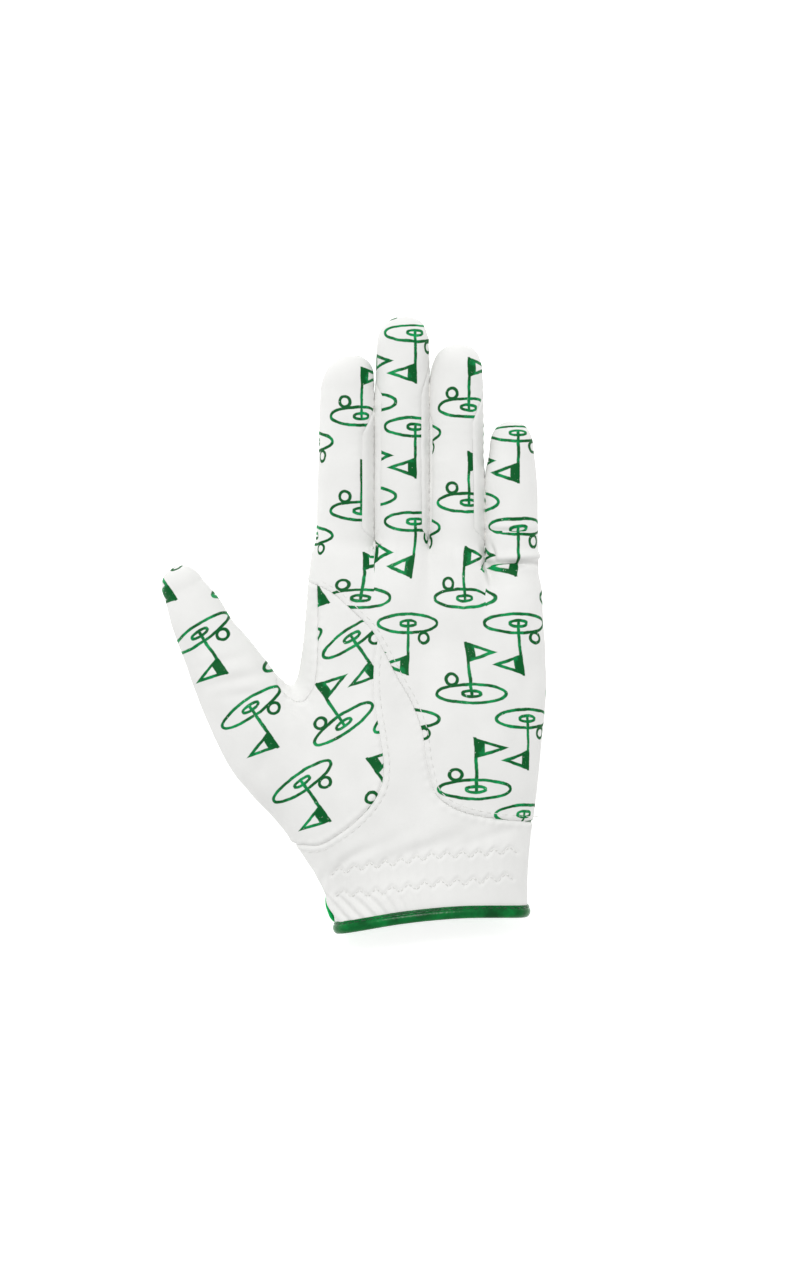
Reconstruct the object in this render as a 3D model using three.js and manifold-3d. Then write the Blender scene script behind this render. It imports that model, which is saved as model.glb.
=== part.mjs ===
// Leather golf glove for the left hand, lying on its back with the palm up.
// Millimetres. +X points to the little finger's side, +Y to the fingertips and +Z out of the palm.
// The origin is under the middle of the glove, on the table it lies on.
import * as THREE from "three";
import { mergeVertices } from "three/addons/utils/BufferGeometryUtils.js";
import Module from "manifold-3d";

const wasm = await Module();
wasm.setup();

// ---- Driving dimensions ----
const LEATHER = 0.8; // thickness of the leather with its seam allowance
const GAP = 0.3; // clearance between two pieces that are sewn edge to edge
const SEAM_Z = 9.0; // height of the seam that joins palm side and back side round the hand
const FINGER_Z = 8.7; // height of a finger's centre line
const FINGER_DEPTH = 17.8; // thickness of a filled finger at its root
const FINGER_TAPER = 0.25; // how much thinner each half gets from one row to the next
const FINGER_ROLL = THREE.MathUtils.degToRad(22); // seams of a finger are rolled to the little finger's side
const FORK_TOP = 2.6; // a side strip's palm edge, from the finger's rolled middle plane
const FORK_BOTTOM = -3.1; // and its back edge
const FORK_END = 3; // the strips stop this far before the fingertip's dome
const HAND_SQUARENESS = 2.5; // exponent of the hand's superellipse sections
const FINGER_SQUARENESS = 2.25;
const HAND_SIDES = 28; // facets round the hand
const FINGER_SIDES = 16;
const WEB_Y = 28.3; // bottom of the slits beside the middle finger
const LITTLE_WEB_Y = 20; // bottom of the slit beside the little finger
const LITTLE_X = 47; // x of that slit
const WEB_LAP = 0.1; // overlap of the hand's cuts with the fingers' cuts
const WRIST_TOP = 4; // overlap of the wrist's lower cuts above the side seam
const FAR = 200; // reaches past everything
const WIDE = 40; // reaches past one finger

// Hand and wrist: y, radial edge, ulnar edge, back, palm.
const HAND = [
  [-118, -4.8, 62.5, 3.6, 29.4],
  [-108, -7.6, 62.4, 3.6, 29.0],
  [-100, -9.9, 62.3, 3.6, 28.6],
  [-92, -12.4, 62.3, 3.6, 28.2],
  [-82, -18.1, 62.7, 3.6, 28.0],
  [-75, -21.7, 63.2, 1.7, 28.2],
  [-66, -23.5, 64.5, -0.3, 28.4],
  [-50, -24.0, 66.6, -0.8, 28.2],
  [-34, -22.5, 68.3, -0.8, 27.5],
  [-20, -20.2, 69.2, -0.8, 26.4],
  [-10, -18.6, 68.7, -0.8, 25.4],
  [4, -17.0, 67.4, -0.8, 23.6],
  [16, -15.9, 67.0, -0.8, 20.6],
  [WEB_Y, -14.4, 66.7, -0.6, 17.8],
];

// Fingers: rows of y, centre x and half width, then the tip's x and y. lane is the finger's own range of x
// above its web, and forks names the sides that have a strip.
const FINGERS = [
  {
    name: "index",
    rows: [[8, -4.6, 10.4], [30, -3.6, 10.3], [55, -3, 10], [75, -2.8, 9.8], [86, -2.6, 9.3]],
    tip: [-0.8, 97.3],
    lane: [-40, 7.25],
    web: WEB_Y,
    forks: ["ulnar"],
  },
  {
    name: "middle",
    rows: [[8, 17, 9.6], [30, 17, 9.5], [60, 17.1, 9.4], [85, 17.4, 9.6], [101, 17.5, 9.3]],
    tip: [17.9, 111.6],
    lane: [7.25, 27.1],
    web: WEB_Y,
    forks: ["radial", "ulnar"],
  },
  {
    name: "ring",
    rows: [[8, 36.6, 9.5], [30, 36.6, 9.4], [55, 36.9, 9.6], [78, 37.1, 9.5], [91, 37.1, 8.9]],
    tip: [37.2, 101.4],
    lane: [27.1, 47.1],
    web: WEB_Y,
    forks: ["radial", "ulnar"],
  },
  {
    name: "little",
    rows: [[0, 57.2, 9.6], [22, 57.1, 9.5], [42, 57, 9.2], [56, 56.9, 8.7], [64, 56.8, 7.9]],
    tip: [56.8, 73.8],
    lane: [47.1, 100],
    web: LITTLE_WEB_Y,
    forks: ["radial"],
  },
];

// Thumb: x, y, z of the centre line, half width and half depth, from inside the hand to the tip's dome.
const THUMB = [
  [-4, -72, 14, 14.5, 12],
  [-18, -58, 14, 16.5, 12.8],
  [-30, -42, 14.2, 17.3, 12.8],
  [-40, -26, 14.4, 15, 12],
  [-48.1, -11.7, 14.4, 12.6, 10.8],
  [-53.1, -3.1, 14.2, 10.7, 10],
  [-57.2, 5.6, 13.8, 9.6, 9.2],
  [-61, 13, 13.4, 7.6, 7.8],
];
const THUMB_TIP = [-65, 20.8, 13];

// Seams on the palm side, as points of smooth curves in X and Y.
const PALM_SEAM = [
  [-17.5, 16.2], [-8, 11.8], [0.4, 4.5], [6.7, -1.9], [10.5, -8.5], [15.5, -18.2], [20.9, -27.9],
  [24.3, -37], [26.3, -50], [30, -60.8], [36.2, -65.2], [45, -67.9], [54, -69.3], [72, -71],
];
const THENAR_SEAM = [
  [10.5, -8.5], [12.2, -20], [12.3, -38], [11.5, -53], [8.6, -62.3], [3.5, -69], [-4, -74.6],
  [-12, -78.8], [-20, -80.2], [-32, -80.8],
];
const QUIRK_SEAM = [
  [-13.4, 14.4], [-13, 0], [-13.2, -12], [-15.3, -23.4], [-18.7, -27.4], [-23, -25.4], [-27.7, -20],
];
const JUNCTION = 4; // index in PALM_SEAM of the point where THENAR_SEAM starts
// Seam between the thumb's back and the back of the hand.
const THUMB_BACK_SEAM = [[-22, -8], [-19.5, -30], [-18, -50], [-17, -66], [-19, -86]];

// Wrist edge: the bottom edge of the green binding, which stands BINDING_WIDTH up from it.
const HEM = [
  [-16, -112.2], [-4.4, -110.8], [4.9, -109.5], [14, -107.7], [26.6, -106.1], [38.9, -105.2], [51.3, -105],
  [72, -105],
];
const BINDING_WIDTH = 3.8;
const BINDING_THICKNESS = 0.7;
// Zigzag rows that hold the wrist elastic.
const ZIGZAG_UPPER = [[-8, -88], [4.6, -85.7], [16.2, -84.1], [27.7, -82], [42.5, -81.3], [58.3, -79.9]];
const ZIGZAG_LOWER = [[-6.5, -95.6], [5.6, -95.2], [16.2, -93.6], [27.7, -92], [42.5, -91], [57, -89.4]];
const ZIGZAG_PITCH = 5.8;
const ZIGZAG_HEIGHT = 2.6;
const THREAD = 0.55;
const ELASTIC = 0.9; // thickness of the wrist elastic
const ELASTIC_MARGIN = 2; // how far the elastic reaches past its zigzag rows

// Closure on the back of the wrist: distances of its layers from the leather's outer face.
const PAD_LOOP = [0.3, 0.9];
const PAD_HOOK = [1.2, 1.75];
const TAB_LAYER = [2.05, 2.95];
const HINGE_X = 42; // the tab's sewn root, where it bends
const ANCHOR_END_X = 52;
const TAB = [
  [HINGE_X, -99.6], [20, -101.6], [4, -104], [-4, -105.6], [-7.6, -105.8], [-9.4, -104.4], [-11.3, -100],
  [-11.2, -95], [-8.5, -90.5], [-3, -87.6], [20, -84], [HINGE_X, -82.4],
];
const ANCHOR = [[HINGE_X + GAP, -100], [ANCHOR_END_X, -99.6], [ANCHOR_END_X, -82], [HINGE_X + GAP, -82]];
const LOOP_PAD = [[19, -99.6], [-4, -103.4], [-8, -99], [-7.4, -93.4], [-2, -89.8], [19, -86.4]];
const HOOK_PAD = [[17.8, -98.4], [-2.8, -102.2], [-6.8, -99], [-6.2, -93.4], [-0.8, -91], [17.8, -87.6]];
// The cuff's slit: its closed end, and its half width at the wrist's far end.
const SLIT_TOP = [25, -83];
const SLIT_HALF_WIDTH = 3.4;
const FACING_WIDTH = 2.6; // the facing sewn round the slit
const FACING_LAYER = [GAP, 0.9];
const FACING_LINE = [[21.8, -101.8], [22.6, -83], [25, -80], [27.4, -83], [28.2, -101.8]];

// ---- Solids from three.js geometry ----
function solid(geometry) {
  const bare = geometry.index ? geometry.toNonIndexed() : geometry.clone();
  bare.deleteAttribute("normal");
  bare.deleteAttribute("uv");
  const merged = mergeVertices(bare, 1e-4);
  return new wasm.Manifold(
    new wasm.Mesh({
      numProp: 3,
      vertProperties: merged.attributes.position.array,
      triVerts: new Uint32Array(merged.index.array),
    }),
  );
}

// A closed skin over rings of equally many points, with flat ends.
function loft(rings) {
  const sides = rings[0].length;
  const points = rings.flat();
  const index = [];
  for (let r = 0; r + 1 < rings.length; r++)
    for (let k = 0; k < sides; k++) {
      const a = r * sides + k;
      const b = r * sides + ((k + 1) % sides);
      index.push(a, a + sides, b, b, a + sides, b + sides);
    }
  for (const [ring, turned] of [[0, false], [rings.length - 1, true]]) {
    const centre = points.length;
    const mean = new THREE.Vector3();
    rings[ring].forEach((p) => mean.addScaledVector(p, 1 / sides));
    points.push(mean);
    for (let k = 0; k < sides; k++) {
      const a = ring * sides + k;
      const b = ring * sides + ((k + 1) % sides);
      index.push(...(turned ? [centre, b, a] : [centre, a, b]));
    }
  }
  const geometry = new THREE.BufferGeometry().setFromPoints(points);
  geometry.setIndex(index);
  return solid(geometry);
}

// One superellipse section: centre, direction of travel in X and Y, half width and half depth.
function section(centre, along, halfWidth, halfDepth, squareness, sides) {
  const across = new THREE.Vector3(along.y, -along.x, 0);
  const round = (v) => Math.sign(v) * Math.abs(v) ** (2 / squareness);
  return Array.from({ length: sides }, (_, k) => {
    const turn = (2 * Math.PI * k) / sides;
    return centre
      .clone()
      .addScaledVector(across, halfWidth * round(Math.cos(turn)))
      .setZ(centre.z + halfDepth * round(Math.sin(turn)));
  });
}

const AHEAD = new THREE.Vector3(0, 1, 0);

// The hand and wrist, grown by `grow` all round.
function hand(grow) {
  return loft(
    HAND.map(([y, left, right, back, palm], i) =>
      section(
        new THREE.Vector3((left + right) / 2, y + (i === HAND.length - 1 ? grow : 0), (back + palm) / 2),
        AHEAD,
        (right - left) / 2 + grow,
        (palm - back) / 2 + grow,
        HAND_SQUARENESS,
        HAND_SIDES,
      ),
    ),
  );
}

// Rings of a rounded end between the last full section and the tip.
const DOME = [0.4, 0.7, 0.9, 0.99];
const domeScale = (share) => (1 - share ** FINGER_SQUARENESS) ** (1 / FINGER_SQUARENESS);

function finger({ rows, tip }, grow) {
  const depthAt = (i) => FINGER_DEPTH / 2 - FINGER_TAPER * i + grow;
  const round = (centre, half, depth) =>
    section(centre, AHEAD, half, depth, FINGER_SQUARENESS, FINGER_SIDES);
  const rings = rows.map(([y, x, half], i) =>
    round(new THREE.Vector3(x, y, FINGER_Z), half + grow, depthAt(i)),
  );
  const last = rows.length - 1;
  const [y, x, half] = rows[last];
  const from = new THREE.Vector3(x, y, FINGER_Z);
  const end = new THREE.Vector3(tip[0], tip[1] + grow, FINGER_Z);
  for (const share of DOME)
    rings.push(
      round(
        from.clone().lerp(end, share),
        (half + grow) * domeScale(share),
        depthAt(last) * domeScale(share),
      ),
    );
  return loft(rings);
}

function thumb(grow) {
  const at = (row) => new THREE.Vector3(row[0], row[1], row[2]);
  const along = (i) => {
    const from = at(THUMB[Math.max(i - 1, 0)]);
    const to = i + 1 < THUMB.length ? at(THUMB[i + 1]) : new THREE.Vector3(...THUMB_TIP);
    return to.sub(from).setZ(0).normalize();
  };
  const rings = THUMB.map((row, i) =>
    section(at(row), along(i), row[3] + grow, row[4] + grow, FINGER_SQUARENESS, FINGER_SIDES),
  );
  const last = THUMB.length - 1;
  const base = THUMB[last];
  const tip = new THREE.Vector3(...THUMB_TIP).addScaledVector(along(last), grow);
  for (const share of DOME)
    rings.push(
      section(
        at(base).lerp(tip, share),
        along(last),
        (base[3] + grow) * domeScale(share),
        (base[4] + grow) * domeScale(share),
        FINGER_SQUARENESS,
        FINGER_SIDES,
      ),
    );
  return loft(rings);
}

function box(x0, x1, y0, y1, z0, z1) {
  const geometry = new THREE.BoxGeometry(x1 - x0, y1 - y0, z1 - z0);
  return solid(geometry.translate((x0 + x1) / 2, (y0 + y1) / 2, (z0 + z1) / 2));
}

function prism(outline, z0, z1) {
  const shape = new THREE.Shape(outline.map(([x, y]) => new THREE.Vector2(x, y)));
  const geometry = new THREE.ExtrudeGeometry(shape, { depth: z1 - z0, bevelEnabled: false });
  return solid(geometry.translate(0, 0, z0));
}

const curve = (points) => new THREE.SplineCurve(points.map(([x, y]) => new THREE.Vector2(x, y)));
const SMOOTH_STEPS = 3; // between two points of a seam
const smooth = (points) =>
  curve(points)
    .getPoints(SMOOTH_STEPS * (points.length - 1))
    .map((p) => [p.x, p.y]);

// The outline of a line of some width.
function ribbon(line, width) {
  const side = (sign) =>
    line.map(([x, y], i) => {
      const [ax, ay] = line[Math.max(i - 1, 0)];
      const [bx, by] = line[Math.min(i + 1, line.length - 1)];
      const size = Math.hypot(bx - ax, by - ay);
      return [x - (sign * (by - ay) * width) / 2 / size, y + (sign * (bx - ax) * width) / 2 / size];
    });
  return [...side(1), ...side(-1).reverse()];
}

const shift = (line, dy) => line.map(([x, y]) => [x, y + dy]);
const join = (solids) => solids.reduce((all, s) => all.add(s));

// ---- The whole leather shell ----
const hem = smooth(HEM);
const behindHem = (dy) => prism([...shift(hem, dy), [72, -FAR], [-16, -FAR]], -FAR, FAR);

function filled(grow) {
  const web = box(LITTLE_X, FAR, LITTLE_WEB_Y + grow, FAR, -FAR, FAR);
  const all = join([hand(grow).subtract(web), ...FINGERS.map((f) => finger(f, grow)), thumb(grow)]);
  return all.intersect(box(-FAR, FAR, -FAR, FAR, -grow, FAR));
}

const lowerHalf = (outline) => prism(outline, -FAR, SEAM_Z + WRIST_TOP);
const upperHalf = (outline) => prism(outline, SEAM_Z + WRIST_TOP, FAR);
const WRIST_END = HAND[0][0];
const slit = lowerHalf([
  SLIT_TOP,
  [SLIT_TOP[0] - SLIT_HALF_WIDTH, WRIST_END],
  [SLIT_TOP[0] + SLIT_HALF_WIDTH, WRIST_END],
]);
const leather = filled(0)
  .subtract(filled(-LEATHER))
  .subtract(behindHem(BINDING_THICKNESS + GAP))
  .subtract(slit);

// ---- Front, back and side strips of the fingers ----
// A box in the finger's rolled frame, kept to the finger's own width.
function rolled({ rows, web, lane }, x0, x1, z0, z1, y0 = web, y1 = FAR) {
  const centre = rows[1][1];
  const geometry = new THREE.BoxGeometry(x1 - x0, y1 - y0, z1 - z0)
    .translate((x0 + x1) / 2, (y0 + y1) / 2, (z0 + z1) / 2)
    .rotateY(-FINGER_ROLL)
    .translate(centre, 0, FINGER_Z);
  return solid(geometry).intersect(box(lane[0], lane[1], y0, y1, -FAR, FAR));
}
const forkSpan = { ulnar: [1, WIDE], radial: [-WIDE, -1] };
const forkEnd = ({ rows }) => rows[rows.length - 1][0] - FORK_END;

const belowSeam = join([
  box(-FAR, FAR, -FAR, LITTLE_WEB_Y + WEB_LAP, -FAR, SEAM_Z + GAP),
  box(-FAR, LITTLE_X, -FAR, WEB_Y + WEB_LAP, -FAR, SEAM_Z + GAP),
  ...FINGERS.map((f) => rolled(f, -WIDE, WIDE, -WIDE, FORK_BOTTOM)),
  ...FINGERS.flatMap((f) =>
    f.forks.map((side) => rolled(f, ...forkSpan[side], -WIDE, FORK_TOP, f.web, forkEnd(f) + GAP)),
  ),
]);
const aboveSeam = join([
  box(-FAR, FAR, -FAR, LITTLE_WEB_Y + WEB_LAP, SEAM_Z, FAR),
  box(-FAR, LITTLE_X, -FAR, WEB_Y + WEB_LAP, SEAM_Z, FAR),
  ...FINGERS.map((f) => rolled(f, -WIDE, WIDE, FORK_BOTTOM - GAP, WIDE)),
]);
const front = leather.subtract(belowSeam);
const back = leather.subtract(aboveSeam);

function fork(f, side) {
  const wall = finger(f, 0).subtract(finger(f, -LEATHER));
  return wall.intersect(rolled(f, ...forkSpan[side], FORK_BOTTOM, FORK_TOP - GAP, f.web + GAP, forkEnd(f)));
}

// ---- Panels of the palm side ----
const palmSeam = smooth(PALM_SEAM);
const thenarSeam = smooth(THENAR_SEAM);
const quirkSeam = smooth(QUIRK_SEAM);
const palmCut = prism(ribbon(palmSeam, GAP), 0, FAR);
const thenarCut = prism(ribbon(thenarSeam, GAP), 0, FAR);
const quirkCut = prism(ribbon(quirkSeam, GAP), 0, FAR);
const upperPalmSeam = palmSeam.slice(0, JUNCTION * SMOOTH_STEPS);
const lowerPalmSeam = palmSeam.slice(JUNCTION * SMOOTH_STEPS);

const [, palmEndY] = PALM_SEAM[PALM_SEAM.length - 1];
const [, thenarEndY] = THENAR_SEAM[THENAR_SEAM.length - 1];
const indexSide = [[FAR, FAR], [-30, FAR], [-30, PALM_SEAM[0][1]]];
const palmArea = prism([...palmSeam, [FAR, palmEndY], ...indexSide], 0, FAR);
const thumbArea = prism(
  [...thenarSeam, [-FAR, thenarEndY], [-FAR, FAR], ...indexSide.slice(1), ...upperPalmSeam],
  0,
  FAR,
);
const quirkArea = prism([...quirkSeam, [-24.5, -9], [-24, 18], [-17.5, 18]], 0, FAR);
const heelArea = prism(
  [
    ...lowerPalmSeam,
    [FAR, palmEndY],
    [FAR, -FAR],
    [-FAR, -FAR],
    [-FAR, thenarEndY],
    ...thenarSeam.slice(1).reverse(),
  ],
  0,
  FAR,
);

// ---- Back of the hand ----
const thumbBackSeam = smooth(THUMB_BACK_SEAM);
const thumbBackArea = prism([...thumbBackSeam, [-FAR, -86], [-FAR, FAR], [-22, FAR]], -FAR, FAR);
const thumbBackCut = prism(ribbon([...thumbBackSeam, [-60, -90]], GAP), -FAR, FAR);

// ---- Wrist edge, elastic and closure ----
// A skin round the hand between two distances from the leather's outer face.
const layer = ([inner, outer]) => hand(outer).subtract(hand(inner));

function binding() {
  const band = prism([...hem, ...shift(hem, BINDING_WIDTH).reverse()], -FAR, FAR);
  const cover = layer([-LEATHER - GAP - BINDING_THICKNESS, GAP + BINDING_THICKNESS]).intersect(band);
  const edge = layer([-LEATHER - GAP, GAP]).subtract(behindHem(BINDING_THICKNESS));
  return cover.subtract(edge).subtract(slit);
}

function zigzag(row) {
  const line = curve(row);
  const turns = 2 * Math.round(line.getLength() / ZIGZAG_PITCH);
  const points = line
    .getSpacedPoints(turns)
    .map((p, i) => [p.x, p.y + ((i % 2 ? 1 : -1) * ZIGZAG_HEIGHT) / 2]);
  return layer([GAP, GAP + THREAD]).intersect(upperHalf(ribbon(points, 2 * THREAD)));
}

function elastic() {
  const top = smooth(shift(ZIGZAG_UPPER, ELASTIC_MARGIN));
  const bottom = smooth(shift(ZIGZAG_LOWER, -ELASTIC_MARGIN));
  const inside = -LEATHER - GAP;
  return layer([inside - ELASTIC, inside]).intersect(upperHalf([...top, ...bottom.reverse()]));
}

// ---- Materials ----
const finish = (color, roughness) => new THREE.MeshStandardMaterial({ color, roughness, metalness: 0 });
const whiteLeather = finish(0xf1f0ee, 0.55);
const greenLeather = finish(0x0b6a33, 0.45);
const greenTab = finish(0x10a24d, 0.5);
const whiteThread = finish(0xe9e8e4, 0.7);
const whiteElastic = finish(0xe4e3de, 0.85);
const greenPile = finish(0x0e7a3b, 0.95);

// ---- Assembly ----
const glove = new THREE.Group();
glove.name = "golf_glove";

function add(parent, name, made, material) {
  const { numProp, vertProperties, triVerts } = made.getMesh();
  const positions = new Float32Array((vertProperties.length / numProp) * 3);
  for (let i = 0; i < positions.length / 3; i++)
    positions.set(vertProperties.subarray(i * numProp, i * numProp + 3), i * 3);
  const geometry = new THREE.BufferGeometry();
  geometry.setAttribute("position", new THREE.BufferAttribute(positions, 3));
  geometry.setIndex(new THREE.BufferAttribute(triVerts, 1));
  geometry.computeVertexNormals();
  const mesh = new THREE.Mesh(geometry, material);
  mesh.name = name;
  parent.add(mesh);
}

const strips = join([palmCut, thenarCut, quirkCut, quirkArea]);
add(glove, "palm_trank", front.intersect(palmArea).subtract(palmCut), whiteLeather);
add(glove, "thumb_thenar_panel", front.intersect(thumbArea).subtract(strips), whiteLeather);
const quirk = front.intersect(quirkArea).subtract(join([quirkCut, palmCut, palmArea]));
add(glove, "index_side_quirk", quirk, whiteLeather);
const heel = front.intersect(heelArea).subtract(join([palmCut, thenarCut]));
add(glove, "heel_wrist_panel", heel, whiteLeather);
add(glove, "back_trank", back.subtract(thumbBackArea).subtract(thumbBackCut), whiteLeather);
const thumbBack = back.intersect(thumbBackArea).subtract(thumbBackCut);
add(glove, "thumb_back_panel", thumbBack, whiteLeather);
for (const f of FINGERS)
  for (const side of f.forks) add(glove, `fourchette_${f.name}_${side}`, fork(f, side), whiteLeather);
add(glove, "cuff_binding", binding(), greenLeather);
const facing = lowerHalf(ribbon(FACING_LINE, FACING_WIDTH)).subtract(slit);
add(glove, "slit_facing", layer(FACING_LAYER).intersect(facing), greenLeather);
add(glove, "wrist_elastic", elastic(), whiteElastic);
add(glove, "zigzag_thread_upper", zigzag(ZIGZAG_UPPER), whiteThread);
add(glove, "zigzag_thread_lower", zigzag(ZIGZAG_LOWER), whiteThread);
add(glove, "loop_pad", layer(PAD_LOOP).intersect(lowerHalf(LOOP_PAD)), greenPile);
add(glove, "tab_anchor", layer([GAP, TAB_LAYER[1]]).intersect(lowerHalf(ANCHOR)), greenTab);
const tab = new THREE.Group();
tab.name = "tab";
add(tab, "hook_pad", layer(PAD_HOOK).intersect(lowerHalf(HOOK_PAD)), greenPile);
add(tab, "closure_tab", layer(TAB_LAYER).intersect(lowerHalf(TAB)), greenTab);
glove.add(tab);

export default glove;
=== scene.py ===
import math

import bpy
import numpy as np
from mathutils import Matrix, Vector
from mathutils.bvhtree import BVHTree


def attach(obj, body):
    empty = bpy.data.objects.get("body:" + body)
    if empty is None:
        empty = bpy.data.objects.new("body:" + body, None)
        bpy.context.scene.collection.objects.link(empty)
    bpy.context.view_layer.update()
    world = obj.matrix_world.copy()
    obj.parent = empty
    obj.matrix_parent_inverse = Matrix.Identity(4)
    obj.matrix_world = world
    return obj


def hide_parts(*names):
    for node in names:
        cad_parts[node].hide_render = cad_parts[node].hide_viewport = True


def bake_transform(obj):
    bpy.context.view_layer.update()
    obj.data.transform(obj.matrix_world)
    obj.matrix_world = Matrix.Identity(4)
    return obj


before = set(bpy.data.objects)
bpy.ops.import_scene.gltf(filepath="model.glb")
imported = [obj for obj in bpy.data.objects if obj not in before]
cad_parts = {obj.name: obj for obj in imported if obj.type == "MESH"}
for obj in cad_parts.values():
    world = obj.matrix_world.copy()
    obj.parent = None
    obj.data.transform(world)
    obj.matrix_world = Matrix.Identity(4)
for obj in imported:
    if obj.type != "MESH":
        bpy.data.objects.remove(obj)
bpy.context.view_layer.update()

MM = 0.001  # the sizes below are in millimetres

# ---- Camera ----
PICTURE_HEIGHT = 454.3  # height of what the camera takes in, at the middle of the glove's thickness
LENS = 100
SENSOR = 36
GLOVE_MIDDLE = Vector((15.5, -2.0, 12.0))  # straight below the camera

# ---- Shape of the worn glove ----
STEP = 0.68  # spacing of the points on the leather
GRID_X, GRID_Y, GRID_Z = (-73.0, 73), (-114, 114), (-1.9, 33)  # room that the form is worked out in
LEATHER = 0.6  # its thickness
SEAM_Z = 9.15  # height of the seam round the sides of the hand
FINGER_Z = 8.7  # height of the fingers' centre lines
FINGER_DEPTH = 17.8  # thickness of a finger at its root
FINGER_TAPER = 0.25  # what its half depth loses from one row to the next
FINGER_ROLL = math.radians(22)  # how far the fingers are turned about their centre lines
FORK_BOTTOM = -3.1  # height of a side strip's lower seam in the rolled finger
FORK_POINT = 16  # length over which a side strip narrows to its point
HAND_SQUARENESS = 2.5  # 2 is an ellipse, and more is squarer
FINGER_SQUARENESS = 2.25
WEB_Y = 28.3  # where the slits between the fingers end
LITTLE_WEB_Y = 20
LITTLE_X = 47  # where the hand's end steps down to the little finger
LANES = [7.25, 27.1, 47.1]  # x of the lines where the fingers meet
TOUCH = 0.12  # how far each finger presses over that line
PARTING = 6  # half the length over which two fingers come apart
FINGER_FLOW = 4.0  # reach over which a finger flows into the hand
THUMB_FLOW = 7.0
HAND_END = WEB_Y - 1.2  # where the hand's own form ends, inside the fingers
HAND_END_STEP = LITTLE_WEB_Y - 3 - WEB_Y  # how much lower that is at the little finger
HAND_END_ROUNDING = 5
BED_ROUNDING = 1.6  # where the form is flattened by what it lies on
SEAM_RISE = 7  # length over which the hand's side seam rises to a finger's seams

# Hand and wrist: y, radial edge, ulnar edge, back, palm.
HAND = np.array([
    [-118, -3.4, 62.5, 3.6, 29.4], [-108, -6.3, 62.4, 3.6, 29.0], [-100, -9.2, 62.3, 3.6, 28.6],
    [-92, -12.4, 62.3, 3.6, 28.2], [-82, -18.1, 62.7, 3.6, 28.0], [-75, -21.7, 63.2, 1.7, 28.2],
    [-66, -23.5, 64.5, -0.3, 28.4], [-50, -24.0, 66.6, -0.8, 28.2], [-34, -22.5, 68.3, -0.8, 27.5],
    [-20, -20.2, 69.2, -0.8, 26.4], [-10, -18.6, 68.7, -0.8, 25.4], [4, -17.0, 67.4, -0.8, 23.6],
    [16, -15.9, 67.0, -0.8, 20.6], [28.3, -14.4, 66.7, -0.6, 17.8],
])

# Fingers: rows of y, centre x and half width; the tip's x and y; the web's y; the sides that have a strip,
# and how high it reaches in the rolled finger; y up to which the finger touches its neighbours; how far its
# print lies off in x and y.
FINGERS = {
    "index": {
        "rows": np.array([
            [8, -4.6, 10.4], [30, -3.6, 10.3], [55, -3, 10], [75, -2.8, 9.8], [86, -2.6, 9.3],
        ]),
        "tip": (-0.8, 97.3), "web": WEB_Y, "forks": {"ulnar": 4.3}, "touch": (None, 84), "print": (2.8, -2.6),
    },
    "middle": {
        "rows": np.array([
            [8, 17, 9.6], [30, 17, 9.5], [60, 17.1, 9.4], [85, 17.4, 9.6], [101, 17.5, 9.3],
        ]),
        "tip": (17.9, 111.6), "web": WEB_Y, "forks": {"radial": 8.4, "ulnar": 3.1}, "touch": (84, 90),
        "print": (3.4, 2.6),
    },
    "ring": {
        "rows": np.array([
            [8, 36.6, 9.5], [30, 36.6, 9.4], [55, 36.9, 9.6], [78, 37.1, 9.5], [91, 37.1, 8.9],
        ]),
        "tip": (37.2, 101.4), "web": WEB_Y, "forks": {"radial": 7.2, "ulnar": 4.2}, "touch": (90, 56),
        "print": (0.4, 0.4),
    },
    "little": {
        "rows": np.array([
            [0, 57.2, 9.6], [22, 57.1, 9.5], [42, 57, 9.2], [56, 56.9, 8.7], [64, 56.8, 7.9],
        ]),
        "tip": (56.8, 73.8), "web": LITTLE_WEB_Y, "forks": {"radial": 2.6}, "touch": (56, None),
        "print": (-0.6, 0.8),
    },
}

# Thumb: x, y, z of the centre line, half width and half depth, from inside the hand to the tip.
THUMB = np.array([
    [-4, -72, 14, 13.0, 10.5], [-18, -58, 14, 15.4, 12.2], [-30, -42, 14.2, 17.0, 12.8],
    [-40, -26, 14.4, 15, 12], [-48.1, -11.7, 14.4, 12.6, 10.8], [-53.1, -3.1, 14.2, 10.7, 10],
    [-57.2, 5.6, 13.8, 9.6, 9.2],
    [-61, 13, 13.4, 7.6, 7.8],
])
THUMB_TIP = np.array([-65, 20.8])  # x and y

# Seams on the palm side and the back, as points of smooth curves in X and Y.
PALM_SEAM = [
    [-17.5, 16.2], [-8, 11.8], [0.4, 4.5], [6.7, -1.9], [10.5, -8.5], [15.5, -18.2], [20.9, -27.9],
    [24.3, -37], [26.3, -50], [30, -60.8], [36.2, -65.2], [45, -67.9], [54, -69.3], [72, -71],
]
THENAR_SEAM = [
    [8.6, -5.2], [7.3, -14], [7.4, -26], [9.6, -40], [10.7, -50], [10.0, -57], [5.8, -64.6], [-0.2, -70.6],
    [-5.5, -74.6], [-12.2, -78.4], [-20, -78.6], [-32, -78],
]
QUIRK_SEAM = [
    [-13.4, 14.4], [-13, 0], [-13.2, -12], [-15.3, -23.4], [-18.7, -27.4], [-23, -25.4], [-27.7, -20],
]
THUMB_BACK_SEAM = [[-22, -8], [-19.5, -30], [-18, -50], [-17, -66], [-19, -86]]
HEM = [
    [-16, -111.2], [-4.4, -109.5], [4.9, -107.7], [14, -106], [26.6, -104.4], [38.9, -103.5], [51.3, -103.5],
    [60, -103.8], [72, -104.2],
]
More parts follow.
